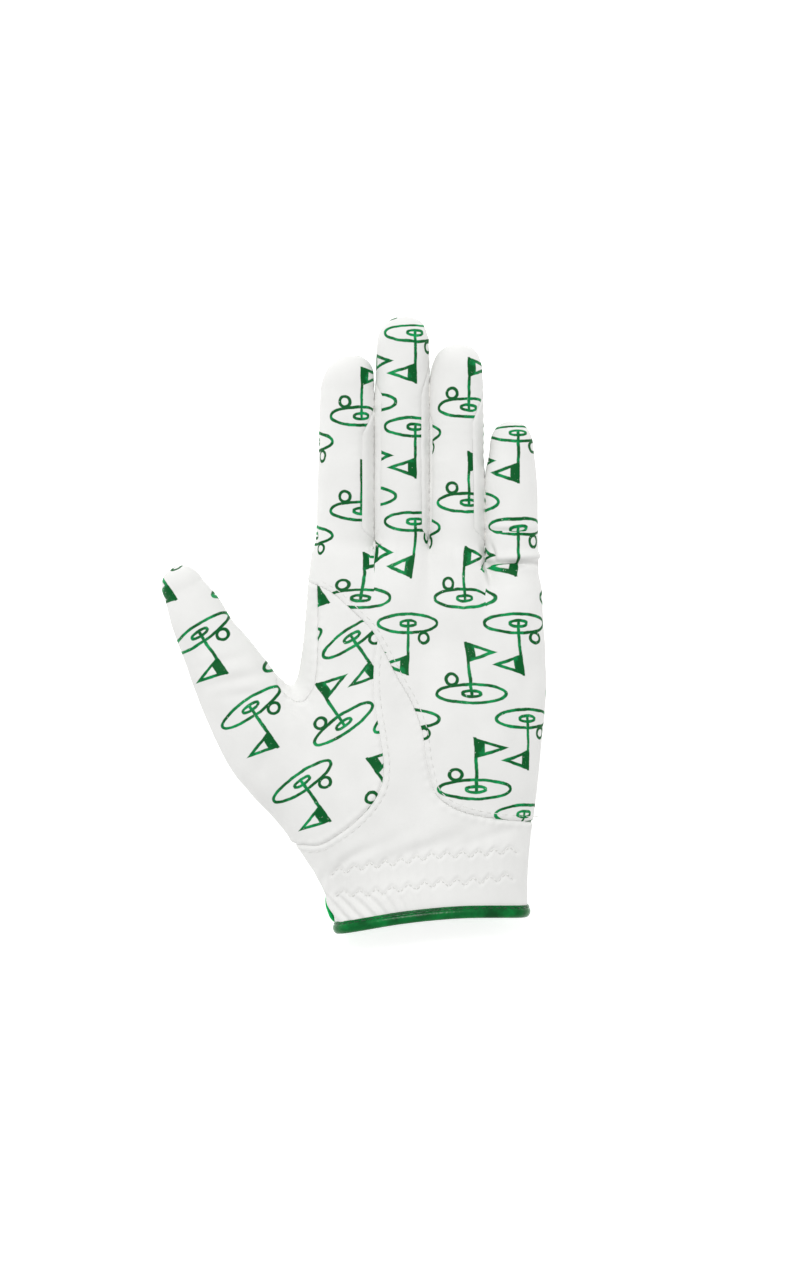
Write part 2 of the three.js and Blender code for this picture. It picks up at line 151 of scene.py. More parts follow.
ZIGZAG_ROWS = {
    "upper": [[-8, -88], [4.6, -85.7], [16.2, -84.1], [27.7, -82], [42.5, -81.3], [58.3, -79.9]],
    "lower": [[-6.5, -95.6], [5.6, -95.2], [16.2, -93.6], [27.7, -92], [42.5, -91], [57, -89.4]],
}
ZIGZAG_PITCH = 5.8  # length of one zig and one zag
ZIGZAG_HEIGHT = 2.6
TAB_ROOT_X = 42  # where the closure tab bends
SLIT_TOP = (25, -83)
SLIT_SPREAD = 3.4 / 35  # half width of the slit for each millimetre below its closed end


# ---- Curves and blends ----
def flow(at, keys, values):
    """A smooth curve through values at keys, level beyond its ends."""
    keys, values = np.asarray(keys, float), np.asarray(values, float)
    slopes = np.gradient(values, keys)
    i = np.clip(np.searchsorted(keys, at) - 1, 0, len(keys) - 2)
    step = keys[i + 1] - keys[i]
    t = np.clip((at - keys[i]) / step, 0, 1)
    rise = t * t * (3 - 2 * t)
    bend = t * (1 - t) ** 2 * slopes[i] - t * t * (1 - t) * slopes[i + 1]
    return values[i] * (1 - rise) + values[i + 1] * rise + step * bend


def lengths(line):
    """How far along a line each of its points is."""
    return np.concatenate([[0], np.cumsum(np.linalg.norm(np.diff(line, axis=0), axis=1))])


def at_length(line, where):
    """Points of a line at some distances along it."""
    length = lengths(line)
    return np.stack([np.interp(where, length, line[:, c]) for c in range(line.shape[1])], 1)


def smooth_line(points, spacing=1.0):
    """Points about one spacing apart on the smooth curve through some points."""
    points = np.array(points, float)
    key = lengths(points)
    at = np.linspace(0, key[-1], max(2, round(key[-1] / spacing) + 1))
    return np.stack([flow(at, key, points[:, c]) for c in range(points.shape[1])], 1)


def beside(places, line):
    """How far places in X and Y are to the left of a line, and how far along it they are."""
    a, step = line[:-1], np.diff(line, axis=0)
    length = np.linalg.norm(step, axis=1)
    start = lengths(line)
    off, along = np.empty(len(places)), np.empty(len(places))
    for some in np.array_split(np.arange(len(places)), max(1, len(places) // 8000)):
        away = places[some][:, None, :] - a[None]
        t = np.clip((away * step).sum(2) / length**2, 0, 1)
        gap = np.linalg.norm(away - t[..., None] * step, axis=2)
        k = gap.argmin(1)
        row = np.arange(len(some))
        turn = step[k, 0] * away[row, k, 1] - step[k, 1] * away[row, k, 0]
        off[some] = np.where(turn > 0, 1, -1) * gap[row, k]
        along[some] = start[k] + t[row, k] * length[k]
    return off, along


def ramp(x, low, high):
    """Rises smoothly from 0 at low to 1 at high."""
    t = np.clip((x - low) / (high - low), 0, 1)
    return t * t * (3 - 2 * t)


def bell(x, width):
    """1 at 0, falling smoothly to both sides."""
    return np.exp(-((x / width) ** 2))


def joined(a, b, reach):
    """Smooth minimum of two distances: one solid that flows into the other."""
    h = np.clip(0.5 + 0.5 * (b - a) / reach, 0, 1)
    return b * (1 - h) + a * h - reach * h * (1 - h)


# ---- The filled glove as a field: below 0 inside ----
def grid_axes():
    """Grid planes in x, y and z, closer together in x near the lines where the fingers meet."""
    xs = [GRID_X[0]]
    fine = STEP * 0.3
    while xs[-1] < GRID_X[1]:
        near = min(abs(xs[-1] - lane) for lane in LANES)
        xs.append(xs[-1] + fine + (STEP - fine) * float(ramp(near, 1.4, 4.5)))
    return np.array(xs), np.arange(*GRID_Y, STEP), np.arange(*GRID_Z, STEP)


def as_distance(level, axes):
    """Turns a level that is 1 on a surface into a rough distance from it."""
    slopes = np.gradient(level, *axes)
    return (level - 1) / np.sqrt(sum(s * s for s in slopes) + 1e-6)


def section_level(dx, dz, half_width, half_depth, squareness):
    """1 on the outline of a rounded section, less inside it and more outside."""
    return (abs(dx / half_width) ** squareness + abs(dz / half_depth) ** squareness) ** (1 / squareness)


# Soft mounds and hollows of the filled palm: x, y, reach in x and y, height.
PALM_RELIEF = [
    (-16, -44, 19, 26, 1.0), (51, -48, 15, 26, 0.9), (18, -34, 13, 30, -1.5), (30, -4, 22, 10, -0.7),
    (-4, 14, 7.5, 9, 0.7), (17, 14, 7.5, 9, 0.9), (37, 13, 7.5, 9, 0.8), (57, 9, 7.5, 9, 0.8),
    (7.3, 20, 2.6, 9, -1.0), (27.1, 20, 2.6, 9, -1.0), (47.1, 13, 2.6, 9, -1.0),
]


def palm_relief(x, y):
    """How much higher the palm is than a plain rounded form."""
    return sum(h * bell(x - cx, rx) * bell(y - cy, ry) for cx, cy, rx, ry, h in PALM_RELIEF)


def hand_field(x, y, z, axes):
    """The hand and wrist, up to inside the fingers' roots."""
    back, palm = flow(y, HAND[:, 0], HAND[:, 3]), flow(y, HAND[:, 0], HAND[:, 4])
    left, right = flow(y, HAND[:, 0], HAND[:, 1]), flow(y, HAND[:, 0], HAND[:, 2])
    level = section_level(
        x - (left + right) / 2, z - (back + palm) / 2, (right - left) / 2, (palm - back) / 2, HAND_SQUARENESS
    )
    distance = as_distance(level, axes)
    end = HAND_END + HAND_END_STEP * ramp(x, LITTLE_X - 2.5, LITTLE_X + 2.5)
    distance = -joined(-distance, end - y, HAND_END_ROUNDING)
    return distance - palm_relief(x, y) * ramp(z, 8, 17)


def finger_shape(finger, y):
    """Centre x, half width and half depth of a finger at y, and how far y is into its rounded tip."""
    rows, (tip_x, tip_y) = finger["rows"], finger["tip"]
    into = np.clip((y - rows[-1, 0]) / (tip_y - rows[-1, 0]), 0, None)
    centre = flow(y, rows[:, 0], rows[:, 1]) + (tip_x - rows[-1, 1]) * np.minimum(into, 1)
    half = flow(y, rows[:, 0], rows[:, 2])
    depth = FINGER_DEPTH / 2 - FINGER_TAPER * np.interp(y, rows[:, 0], np.arange(len(rows)))
    return centre, half, depth, into


def finger_field(number, finger, x, y, z, axes):
    """A finger, pressed flat against its neighbours as far as it touches them."""
    centre, half, depth, into = finger_shape(finger, y)
    left_end, right_end = finger["touch"]
    to_left, to_right = half, half
    if left_end:
        pressed = 1 - ramp(y, left_end - PARTING, left_end + PARTING)
        to_left = half + (np.maximum(centre - LANES[number - 1] + TOUCH, half) - half) * pressed
    if right_end:
        pressed = 1 - ramp(y, right_end - PARTING, right_end + PARTING)
        to_right = half + (np.maximum(LANES[number] - centre + TOUCH, half) - half) * pressed
    half = np.where(x > centre, to_right, to_left)
    ring = section_level(x - centre, z - FINGER_Z, half, depth, FINGER_SQUARENESS)
    level = (ring**FINGER_SQUARENESS + into**FINGER_SQUARENESS) ** (1 / FINGER_SQUARENESS)
    distance = as_distance(level, axes)
    return np.maximum(distance, finger["rows"][0, 0] - 8 - y)


def thumb_line():
    """The thumb's centre line, drawn on past its tip."""
    ahead = THUMB_TIP - THUMB[-1, :2]
    return smooth_line(np.vstack([THUMB[:, :2], THUMB_TIP, THUMB_TIP + ahead]), 1.0)


def thumb_place(places):
    """How far places are across and along the thumb."""
    return beside(places, thumb_line())


THUMB_KEY = lengths(THUMB[:, :2])
THUMB_END = THUMB_KEY[-1]
THUMB_DOME = float(np.linalg.norm(THUMB_TIP - THUMB[-1, :2]))


def thumb_field(x, y, z, axes):
    """The thumb, round its own curved centre line."""
    flat_x, flat_y = np.broadcast_arrays(x[..., 0], y[..., 0])
    across, along = thumb_place(np.stack([flat_x.ravel(), flat_y.ravel()], 1))
    across, along = (v.reshape(flat_x.shape)[..., None] for v in (across, along))
    middle, half, depth = (flow(along, THUMB_KEY, THUMB[:, c]) for c in (2, 3, 4))
    into = np.clip((along - THUMB_END) / THUMB_DOME, 0, None)
    ring = section_level(across, z - middle, half, depth, FINGER_SQUARENESS)
    level = (ring**FINGER_SQUARENESS + into**FINGER_SQUARENESS) ** (1 / FINGER_SQUARENESS)
    return as_distance(level, axes)


def glove_field(axes):
    """The hand, the fingers and the thumb as one form, flattened where it lies on its back."""
    xs, ys, zs = axes
    x, y, z = xs[:, None, None], ys[None, :, None], zs[None, None, :]
    hand = hand_field(x, y, z, axes)
    field = hand.copy()

    def part(low_x, high_x, low_y, high_y):
        i0, i1 = np.searchsorted(xs, [low_x, high_x])
        j0, j1 = np.searchsorted(ys, [low_y, high_y])
        return slice(i0, i1), slice(j0, j1)

    for number, finger in enumerate(FINGERS.values()):
        rows = finger["rows"]
        i, j = part(rows[0, 1] - 17, rows[0, 1] + 17, rows[0, 0] - 10, finger["tip"][1] + 5)
        own = finger_field(number, finger, x[i], y[:, j], z, (xs[i], ys[j], zs))
        field[i, j] = np.minimum(field[i, j], joined(hand[i, j], own, FINGER_FLOW))
    i, j = part(-73, 16, -92, 34)
    thumb = thumb_field(x[i], y[:, j], z, (xs[i], ys[j], zs))
    field[i, j] = joined(field[i, j], thumb, THUMB_FLOW)
    return -joined(-field, z + 0 * field, BED_ROUNDING)


CORNERS = [(i, j, k) for i in (0, 1) for j in (0, 1) for k in (0, 1)]
EDGES = [(a, b) for a in CORNERS for b in CORNERS if a < b and sum(abs(np.subtract(a, b))) == 1]


def surface_net(field, axes):
    """One point for each cell that the surface crosses, and a quad for each grid edge that it crosses."""
    inside = field < 0
    n = np.array(field.shape) - 1
    count = sum(inside[i:n[0] + i, j:n[1] + j, k:n[2] + k].astype(np.int8) for i, j, k in CORNERS)
    busy = (count > 0) & (count < 8)
    number = np.full(busy.shape, -1, np.int64)
    number[busy] = np.arange(busy.sum())
    cell = np.argwhere(busy)
    value = {c: field[tuple((cell + c).T)] for c in CORNERS}
    total, hits = np.zeros((len(cell), 3)), np.zeros((len(cell), 1))
    for a, b in EDGES:
        crossed = (value[a] < 0) != (value[b] < 0)
        t = np.where(crossed, value[a] / np.where(crossed, value[a] - value[b], 1), 0)[:, None]
        total += np.where(crossed[:, None], np.array(a) + t * np.subtract(b, a), 0)
        hits += crossed[:, None]
    share = total / hits
    points = np.stack([
        axes[c][cell[:, c]] * (1 - share[:, c]) + axes[c][cell[:, c] + 1] * share[:, c] for c in range(3)
    ], 1)
    quads = []
    for d in range(3):
        p, q = (d + 1) % 3, (d + 2) % 3
        low, high = [slice(1, -1)] * 3, [slice(1, -1)] * 3
        low[d], high[d] = slice(0, -1), slice(1, None)
        first, second = inside[tuple(low)], inside[tuple(high)]
        edge = np.argwhere(first != second)
        outward = first[tuple(edge.T)]
        edge[:, p] += 1
        edge[:, q] += 1
        ring = []
        for dp, dq in ((-1, -1), (0, -1), (0, 0), (-1, 0)):
            at = edge.copy()
            at[:, p] += dp
            at[:, q] += dq
            ring.append(number[tuple(at.T)])
        ring = np.stack(ring, 1)
        quads.append(np.where(outward[:, None], ring, ring[:, ::-1]))
    return points, np.vstack(quads)


def sample(field, axes, points):
    """The field between its grid points."""
    base, share = [], []
    for c in range(3):
        i = np.clip(np.searchsorted(axes[c], points[:, c]) - 1, 0, len(axes[c]) - 2)
        base.append(i)
        share.append((points[:, c] - axes[c][i]) / (axes[c][i + 1] - axes[c][i]))
    value = 0
    for i, j, k in CORNERS:
        weight = 1.0
        for s, bit in zip(share, (i, j, k)):
            weight = weight * (s if bit else 1 - s)
        value = value + weight * field[base[0] + i, base[1] + j, base[2] + k]
    return value


def uphill(field, axes, points):
    """Direction in which the field rises most, and how fast. It looks less far in x, where fingers meet."""
    reach = np.diag([0.16, 0.5, 0.5])
    return np.stack([
        (sample(field, axes, points + d) - sample(field, axes, points - d)) / (2 * d.sum()) for d in reach
    ], 1)


# ---- The skin and its panels ----
class Skin:
    """Triangles with a panel number each, which can be cut along level lines."""

    def __init__(self, points, triangles):
        self.points, self.triangles = points, triangles
        self.panel = np.zeros(len(triangles), int)

    def cut(self, values, old, new):
        """Splits panel `old` where values change sign. What lies below 0 becomes panel `new`."""
        values = np.where(abs(values) < 0.02, 0.02, values)
        mine = np.flatnonzero(self.panel == old)
        over = values[self.triangles[mine]] > 0
        total = over.sum(1)
        self.panel[mine[total == 0]] = new
        mixed = (total > 0) & (total < 3)
        mine, over, one_over = mine[mixed], over[mixed], total[mixed] == 1
        lone = np.where(one_over, over.argmax(1), (~over).argmax(1))
        row = np.arange(len(mine))
        a, b, c = (self.triangles[mine][row, (lone + k) % 3] for k in range(3))
        ends = np.sort(np.concatenate([np.stack([a, b], 1), np.stack([a, c], 1)]), axis=1)
        ends, number = np.unique(ends, axis=0, return_inverse=True)
        number = number.ravel() + len(self.points)
        t = (values[ends[:, 0]] / (values[ends[:, 0]] - values[ends[:, 1]]))[:, None]
        fresh = self.points[ends[:, 0]] * (1 - t) + self.points[ends[:, 1]] * t
        self.points = np.vstack([self.points, fresh])
        ab, ac = number[:len(a)], number[len(a):]
        self.triangles[mine] = np.stack([a, ab, ac], 1)
        self.panel[mine] = np.where(one_over, old, new)
        self.triangles = np.vstack([self.triangles, np.stack([ab, b, c], 1), np.stack([ab, c, ac], 1)])
        rest = np.where(one_over, new, old)
        self.panel = np.concatenate([self.panel, rest, rest])


def finger_of(points):
    """Number of the finger whose lane points lie in."""
    return np.searchsorted(LANES, points[:, 0])


NO_STRIP = 30.0  # level where a finger has no side strip


def side_levels(points):
    """How far points are above the seam round the glove's sides, and above the palm seam of a side strip."""
    x, y, z = points.T
    number = finger_of(points)
    round_hand = z - SEAM_Z
    above_back, above_strip = round_hand.copy(), np.full(len(points), NO_STRIP)
    for k, finger in enumerate(FINGERS.values()):
        mine = number == k
        centre = finger_shape(finger, y[mine])[0]
        dx, dz = x[mine] - centre, z[mine] - FINGER_Z
        rolled = dz * math.cos(FINGER_ROLL) - dx * math.sin(FINGER_ROLL)
        lateral = dx * math.cos(FINGER_ROLL) + dz * math.sin(FINGER_ROLL)
        web = finger["web"]
        on_finger = ramp(y[mine], web, web + SEAM_RISE)
        above_back[mine] += on_finger * (rolled - FORK_BOTTOM - round_hand[mine])
        end = finger["rows"][-1, 0] - 3
        full = np.where(lateral > 0, finger["forks"].get("ulnar", 0), finger["forks"].get("radial", 0))
        top = full + (FORK_BOTTOM - full) * ramp(y[mine], end - FORK_POINT, end)
        level = round_hand[mine] + on_finger * (rolled - top - round_hand[mine])
        above_strip[mine] = np.where((full > 0) & (y[mine] > web), level, NO_STRIP)
    return above_back, above_strip


palm_line = smooth_line(PALM_SEAM)
thenar_line = smooth_line(THENAR_SEAM)
quirk_line = smooth_line(QUIRK_SEAM)
thumb_back_line = smooth_line(THUMB_BACK_SEAM)
hem_line = smooth_line(HEM)


def above_hem(points):
    """How far points are above the cuff's edge."""
    return points[:, 1] - np.interp(points[:, 0], hem_line[:, 0], hem_line[:, 1])


PALM, THUMB_PANEL, QUIRK, HEEL, BACK, THUMB_BACK, STRIP, GONE = range(8)
CROTCH = np.array([[-20, -27.7], [-9, -24.5], [18, -24]])  # y and x through the gap beside the quirk


def cut_panels(skin):
    """Cuts the panels apart along their seams, and the leather away past the hem and in the slit."""
    skin.cut(side_levels(skin.points)[0], PALM, BACK)
    skin.cut(side_levels(skin.points)[1], PALM, STRIP)
    skin.cut(beside(skin.points[:, :2], palm_line)[0], PALM, THUMB_PANEL)
    longer_thenar = np.vstack([[[12, 6]], thenar_line])
    skin.cut(-beside(skin.points[:, :2], longer_thenar)[0], THUMB_PANEL, HEEL)
    right_of_crotch = skin.points[:, 0] - np.interp(skin.points[:, 1], CROTCH[:, 0], CROTCH[:, 1])
    outside_quirk = -np.minimum(-beside(skin.points[:, :2], quirk_line)[0], right_of_crotch)
    skin.cut(outside_quirk, THUMB_PANEL, QUIRK)
    skin.cut(beside(skin.points[:, :2], thumb_back_line)[0], BACK, THUMB_BACK)
    for panel in (HEEL, BACK):
        skin.cut(above_hem(skin.points) - 0.5, panel, GONE)
    x, y, z = skin.points.T
    opening = np.clip(SLIT_TOP[1] - y, 0, None) * SLIT_SPREAD
    skin.cut(np.where(z < 13, abs(x - SLIT_TOP[0]) - opening, 9), BACK, GONE)


# ---- Seams, puckers, gathers and creases pressed into the leather ----
def wander(points, size, seed):
    """Smooth random hills from -1 to 1, about `size` across."""
    rng = np.random.default_rng(seed)
    total = 0
    for _ in range(7):
        direction = rng.normal(size=3)
        direction *= 2 * math.pi / (size * rng.uniform(1.2, 2.6)) / np.linalg.norm(direction)
        total = total + np.sin(points @ direction + rng.uniform(0, 2 * math.pi))
    return total / 4


STITCH_PITCH = 2.9  # of the topstitched rows
PUCKER_PITCH = 3.6


def seam_relief(off, along, depth=0.55, lip=0.24, pucker=0.13):
    """A sewn valley with a rounded lip on each side that puckers between stitches."""
    wave = np.sin(2 * math.pi * along / PUCKER_PITCH + 1.6 * np.sin(along / 6.1))
    from_lip = abs(off) - 1.4
    return -depth * bell(off, 0.62) + (lip + pucker * wave) * bell(from_lip, 1.1)


def topstitch_relief(off, along, row):
    """The shallow channel that a stitched row pulls in, with a dimple at each needle hole."""
    hole = 0.5 + 0.5 * np.cos(2 * math.pi * along / STITCH_PITCH)
    return -(0.13 + 0.10 * hole) * bell(off - row, 0.5)


PALM_TOPSTITCH = 1.9  # distance of the stitched row from the palm seam, on the printed side
THENAR_TOPSTITCH = 2.1  # the same from the thenar seam, on the heel's side

# Creases of the palm side: x, y, angle in degrees, half length, width, depth. The first two are the little
# finger's folds.
CREASES = [
    (58.8, 22.2, 3, 9.5, 1.2, 2.6), (56.5, 33.8, -2, 8, 0.9, 0.8),
    (50.2, 26.0, -72, 3.2, 0.8, 0.8), (-42, -19.5, 12, 10, 2.0, 0.65),
    (-38, -24.5, 6, 9, 1.8, 0.45), (-47, -13.0, 16, 8, 1.6, 0.28), (30, -76.6, 19, 20, 2.1, 0.40),
    (22, -80.8, 17, 18, 1.7, 0.30), (50, -74.6, 17, 14, 2.0, 0.45), (4, -80.5, 24, 12, 1.8, 0.30),
    (16, 26.0, 84, 5, 1.0, 0.25), (36, 25.5, 96, 5, 1.0, 0.22), (-21, -30.5, -38, 6, 1.3, 0.45),
    (-5, -86, 38, 8, 1.5, 0.4), (8, -5, -52, 22, 3.0, 0.18), (60, -30, 80, 20, 2.6, 0.25),
    (-33, -50, 55, 14, 2.6, 0.22), (63, -2, 70, 10, 1.6, 0.3),
]


def crease_place(x, y, cx, cy, angle):
    """How far places are along a crease from its middle, and to its left."""
    turn = math.radians(angle)
    along = (x - cx) * math.cos(turn) + (y - cy) * math.sin(turn)
    return along, (y - cy) * math.cos(turn) - (x - cx) * math.sin(turn)


def crease_relief(x, y):
    """Each crease as a valley with a low ridge beside it."""
    total = 0
    for cx, cy, angle, length, width, depth in CREASES:
        u, v = crease_place(x, y, cx, cy, angle)
        total = total - depth * bell(u, length) * (bell(v, width) - 0.7 * bell(v - 1.9 * width, 1.3 * width))
    return total


def zigzag_corners(row):
    """The needle holes of a zigzag row in X and Y, high and low in turn."""
    line = smooth_line(ZIGZAG_ROWS[row], 0.5)
    whole = lengths(line)[-1]
    turns = 2 * round(whole / ZIGZAG_PITCH)
    corners = at_length(line, np.linspace(0, whole, turns + 1))
    corners[:, 1] += np.where(np.arange(turns + 1) % 2, 0.5, -0.5) * ZIGZAG_HEIGHT
    return corners


def cuff_relief(points):
    """Gathers that the elastic and its zigzag rows pull into the wrist."""
    x, y = points[:, 0], points[:, 1]
    upper, lower = (smooth_line(ZIGZAG_ROWS[row]) for row in ("upper", "lower"))
    y_upper, y_lower = np.interp(x, *upper.T), np.interp(x, *lower.T)
    hem = above_hem(points)
    drift = 1.5 * wander(points * [1, 0.4, 0.2], 16, 11)
    left = 1 - ramp(x, 4, 34)
    below = ramp(hem, 2.0, 5.5) * (1 - ramp(y, y_lower - 2.0, y_lower + 0.5))
    slant = x + (0.75 * left + 0.15) * (y - y_lower)
    total = (0.05 + 0.44 * left) * below * np.sin(2 * math.pi * slant / 4.9 + drift)
    between = ramp(y, y_lower - 1, y_lower + 2) * (1 - ramp(y, y_upper - 2, y_upper + 1))
    total += (0.05 + 0.1 * left) * between * np.sin(2 * math.pi * x / 3.5 + drift)
    over = ramp(y, y_upper - 1, y_upper + 2) * bell(np.clip(y - y_upper - 2, 0, None), 4.5)
    total += 0.12 * over * np.sin(2 * math.pi * x / 6.2 + 2 * drift)
    near = np.flatnonzero((x > -13) & (x < 63) & (y < -74))
    for row in ZIGZAG_ROWS:
        off, _ = beside(points[near, :2], zigzag_corners(row))
        total[near] -= 0.34 * bell(off, 0.62) - 0.1 * bell(abs(off) - 1.3, 0.8)
    return total


def relief(points):
    """How far out each point of the smooth form is moved."""
    x, y, z = points.T
    front = ramp(z, SEAM_Z, SEAM_Z + 1.6)
    back = 1 - front
    total = 0.16 * wander(points, 22, 3) + 0.05 * wander(points, 7, 5)
    palm_off, palm_along = beside(points[:, :2], palm_line)
    thenar_off, thenar_along = beside(points[:, :2], thenar_line)
    quirk_off, quirk_along = beside(points[:, :2], quirk_line)
    left_of_palm = 1 - ramp(palm_off, -0.6, 0.8)
    firm = 0.5 + 0.5 * (1 - ramp(y, -62, -36))
    total += front * firm * seam_relief(palm_off, palm_along)
    total += front * firm * topstitch_relief(palm_off, palm_along, PALM_TOPSTITCH)
    total += front * left_of_palm * firm * seam_relief(thenar_off, thenar_along)
    total += front * left_of_palm * firm * topstitch_relief(thenar_off, thenar_along, THENAR_TOPSTITCH)
    right_of_crotch = ramp(x - np.interp(y, CROTCH[:, 0], CROTCH[:, 1]), -1.0, 1.5)
    on_quirk = front * (1 - ramp(y, 13, 16)) * right_of_crotch
    total += on_quirk * seam_relief(quirk_off, quirk_along, 0.5, 0.2, 0.1)
    thumb_back_off, thumb_back_along = beside(points[:, :2], thumb_back_line)
    total += back * seam_relief(thumb_back_off, thumb_back_along, 0.4, 0.2, 0.1)
    above_back, above_strip = side_levels(points)
    folded_side = (x > 40) & ((y < LITTLE_WEB_Y) | (x > 57))
    sewn_side = np.where(folded_side, 0, 1 - bell(np.clip(-95 - y, 0, None) - 9, 1))
    total += sewn_side * seam_relief(above_back, y + x, 0.4, 0.2, 0.12)
    near_point = 1 - ramp(y, 28, 46)
    sewn_strip = (1 - 0.7 * near_point) * seam_relief(above_strip, y, 0.2, 0.07, 0.04)
    total += np.where(above_strip < NO_STRIP - 1, sewn_strip, 0)
    total += front * crease_relief(x, y)
    total += front * cuff_relief(points)
    return total * ramp(above_hem(points), -2, 1.5)


# ---- Where the print lies on the flat leather ----
PRINT_PITCH = (40.8, 34.0)  # the repeat, across and along
UPRIGHT_ORIGIN = np.array([0.2, 17.1])  # middle of one upright motif
INVERTED_OFFSET = np.array([18.6, -23.8])  # from there to an inverted one


WRAP_TURNS = 400


def wrap_table(half_width, half_depth, squareness):
    """Angle from straight up, the length of leather from there and the distance across, round one section."""
    turn = np.linspace(0, math.pi, WRAP_TURNS)
    side = np.sign(np.cos(turn)) * abs(np.cos(turn)) ** (2 / squareness) * half_depth
    across = abs(np.sin(turn)) ** (2 / squareness) * half_width
    length = np.concatenate([[0], np.cumsum(np.hypot(np.diff(side), np.diff(across)))])
    return np.arctan2(across, side), length, across


HAND_WRAP_DEPTH = 13.2  # half the thickness of the hand that the leather is taken round
HAND_WRAP = wrap_table(42.5, HAND_WRAP_DEPTH, HAND_SQUARENESS)
FINGER_WRAP = wrap_table(9.6, 8.6, FINGER_SQUARENESS)
THUMB_PRINT_ORIGIN = np.array([-32.6, -35.0])
THUMB_PRINT_TURN = math.radians(34.8)
THUMB_PRINT_STRETCH = np.array([0.93, 1.06])
THUMB_PRINT_SHIFT = 10 * PRINT_PITCH[0]  # whole repeats, which keep its print apart from the hand's


def over_dome(past, height):
    """What the way over a rounded tip is longer by than straight ahead."""
    into = np.clip(past / height, 0, 1)
    return height * (np.arcsin(into) - into)


FOLD_SWALLOWS = (1.9, 1.2)  # leather that each of the little finger's folds takes in


def tucked_in(x, y):
    """How far the print is pushed along where the little finger's two folds swallow some leather."""
    total = 0
    for (cx, cy, angle, length, *_), swallowed in zip(CREASES, FOLD_SWALLOWS):
        u, v = crease_place(x, y, cx, cy, angle)
        total = total + swallowed * np.sign(v) * bell(u, length * 0.8) * np.exp(-abs(v) / 5)
    return total


def hand_print_place(points, back=False):
    """Print across and along the hand. The back carries on from the palm round the little finger's side."""
    x, y, z = points.T
    left, right = flow(y, HAND[:, 0], HAND[:, 1]), flow(y, HAND[:, 0], HAND[:, 2])
    middle = (flow(y, HAND[:, 0], HAND[:, 3]) + flow(y, HAND[:, 0], HAND[:, 4])) / 2
    centre = (left + right) / 2
    once_round = 2 * HAND_WRAP[1][-1]

    def round_back(ahead, up):
        reach = np.interp(np.arctan2(abs(ahead), up), *HAND_WRAP[:2])
        return np.where(ahead > 0, reach, once_round - reach)

    turn = np.arctan2(abs(x - centre), z - middle)
    reach = np.sign(x - centre) * np.interp(turn, *HAND_WRAP[:2])
    across, along = centre + (round_back(x - centre, z - middle) if back else reach), y.copy()
    number = finger_of(points)
    for k, finger in enumerate(FINGERS.values()):
        mine = number == k
        axis = finger_shape(finger, y[mine])[0]
        dx = x[mine] - axis
        up = FINGER_Z - z[mine] if back else z[mine] - FINGER_Z
        angle, length, away = FINGER_WRAP
        half = WRAP_TURNS // 2
        near = np.interp(abs(dx), away[:half], length[:half])
        reach = np.sign(dx) * np.where(up > 1, near, np.interp(np.arctan2(abs(dx), up), angle, length))
        share = ramp(y[mine], finger["web"] - 20, finger["web"] + 8)
        dome = finger["rows"][-1, 0]
        along[mine] += over_dome(y[mine] - dome, finger["tip"][1] - dome)
        folded = "ulnar" not in finger["forks"]
        if back and not folded:
            own = centre[mine] + round_back(axis - centre[mine], -HAND_WRAP_DEPTH) - reach
        else:
            own = axis + (length[-1] - reach if back else reach) - finger["print"][0]
            along[mine] -= share * finger["print"][1]
        across[mine] += share * (own - across[mine])
    if not back:
        along += np.where(z > SEAM_Z, tucked_in(x, y), 0)
    return np.stack([across, along], 1)


def thumb_print_place(points, back=False):
    """Print across and along the thumb, carried down its outer side."""
    flat = points[:, :2] - THUMB_PRINT_ORIGIN
    c, s = math.cos(THUMB_PRINT_TURN), math.sin(THUMB_PRINT_TURN)
    across, along = flat @ [c, s], flat @ [-s, c]
    off, reached = thumb_place(points[:, :2])
    along += over_dome(reached - THUMB_END, THUMB_DOME)
    side = np.clip(points[:, 2] - 4 if back else 15 - points[:, 2], 0, None)
    across = across - np.where(off > 0, side * ramp(off, 4, 9), 0)
    place = np.stack([across, along], 1) * THUMB_PRINT_STRETCH + UPRIGHT_ORIGIN + INVERTED_OFFSET
    return place if back else place - [THUMB_PRINT_SHIFT, 0]


# ---- Materials ----
def linear(hex_colour):
    """An sRGB hex colour as linear red, green, blue and alpha."""
    parts = [int(hex_colour[i:i + 2], 16) / 255 for i in (1, 3, 5)]
    return [p / 12.92 if p <= 0.04045 else ((p + 0.055) / 1.055) ** 2.4 for p in parts] + [1]


def add(tree, kind, inputs=None, **settings):
    """Adds a node with its settings. Inputs, by name or number, are values or links."""
    node = tree.nodes.new("ShaderNode" + kind)
    for key, value in settings.items():
        setattr(node, key, value)
    for key, value in (inputs or {}).items():
        if isinstance(value, bpy.types.NodeSocket):
            tree.links.new(value, node.inputs[key])
        else:
            node.inputs[key].default_value = value
    return node.outputs


def new_material(name, **shader):
    """A material with one surface shader and its first values."""
    material = bpy.data.materials.new(name)
    material.use_nodes = True
    tree = material.node_tree
    tree.nodes.clear()
    surface = add(tree, "BsdfPrincipled", shader)
    add(tree, "OutputMaterial", {"Surface": surface[0]})
    return material, tree, surface[0].node


def two_tones(tree, share, dark, light, low=0.0, high=1.0):
    """A colour that goes from dark to light as a share goes from low to high."""
    tones = add(tree, "ValToRGB", {0: share})[0]
    for stop, colour, position in zip(tones.node.color_ramp.elements, (dark, light), (low, high)):
        stop.color = linear(colour)
        stop.position = position
    return tones


def finish(tree, shader, colour, height, strength, depth):
    """Gives a material its colour and the fine relief of its surface, `depth` metres deep."""
    relief_node = add(tree, "Bump", {"Strength": strength, "Distance": depth, "Height": height})
    tree.links.new(colour, shader.inputs["Base Color"])
    tree.links.new(relief_node[0], shader.inputs["Normal"])


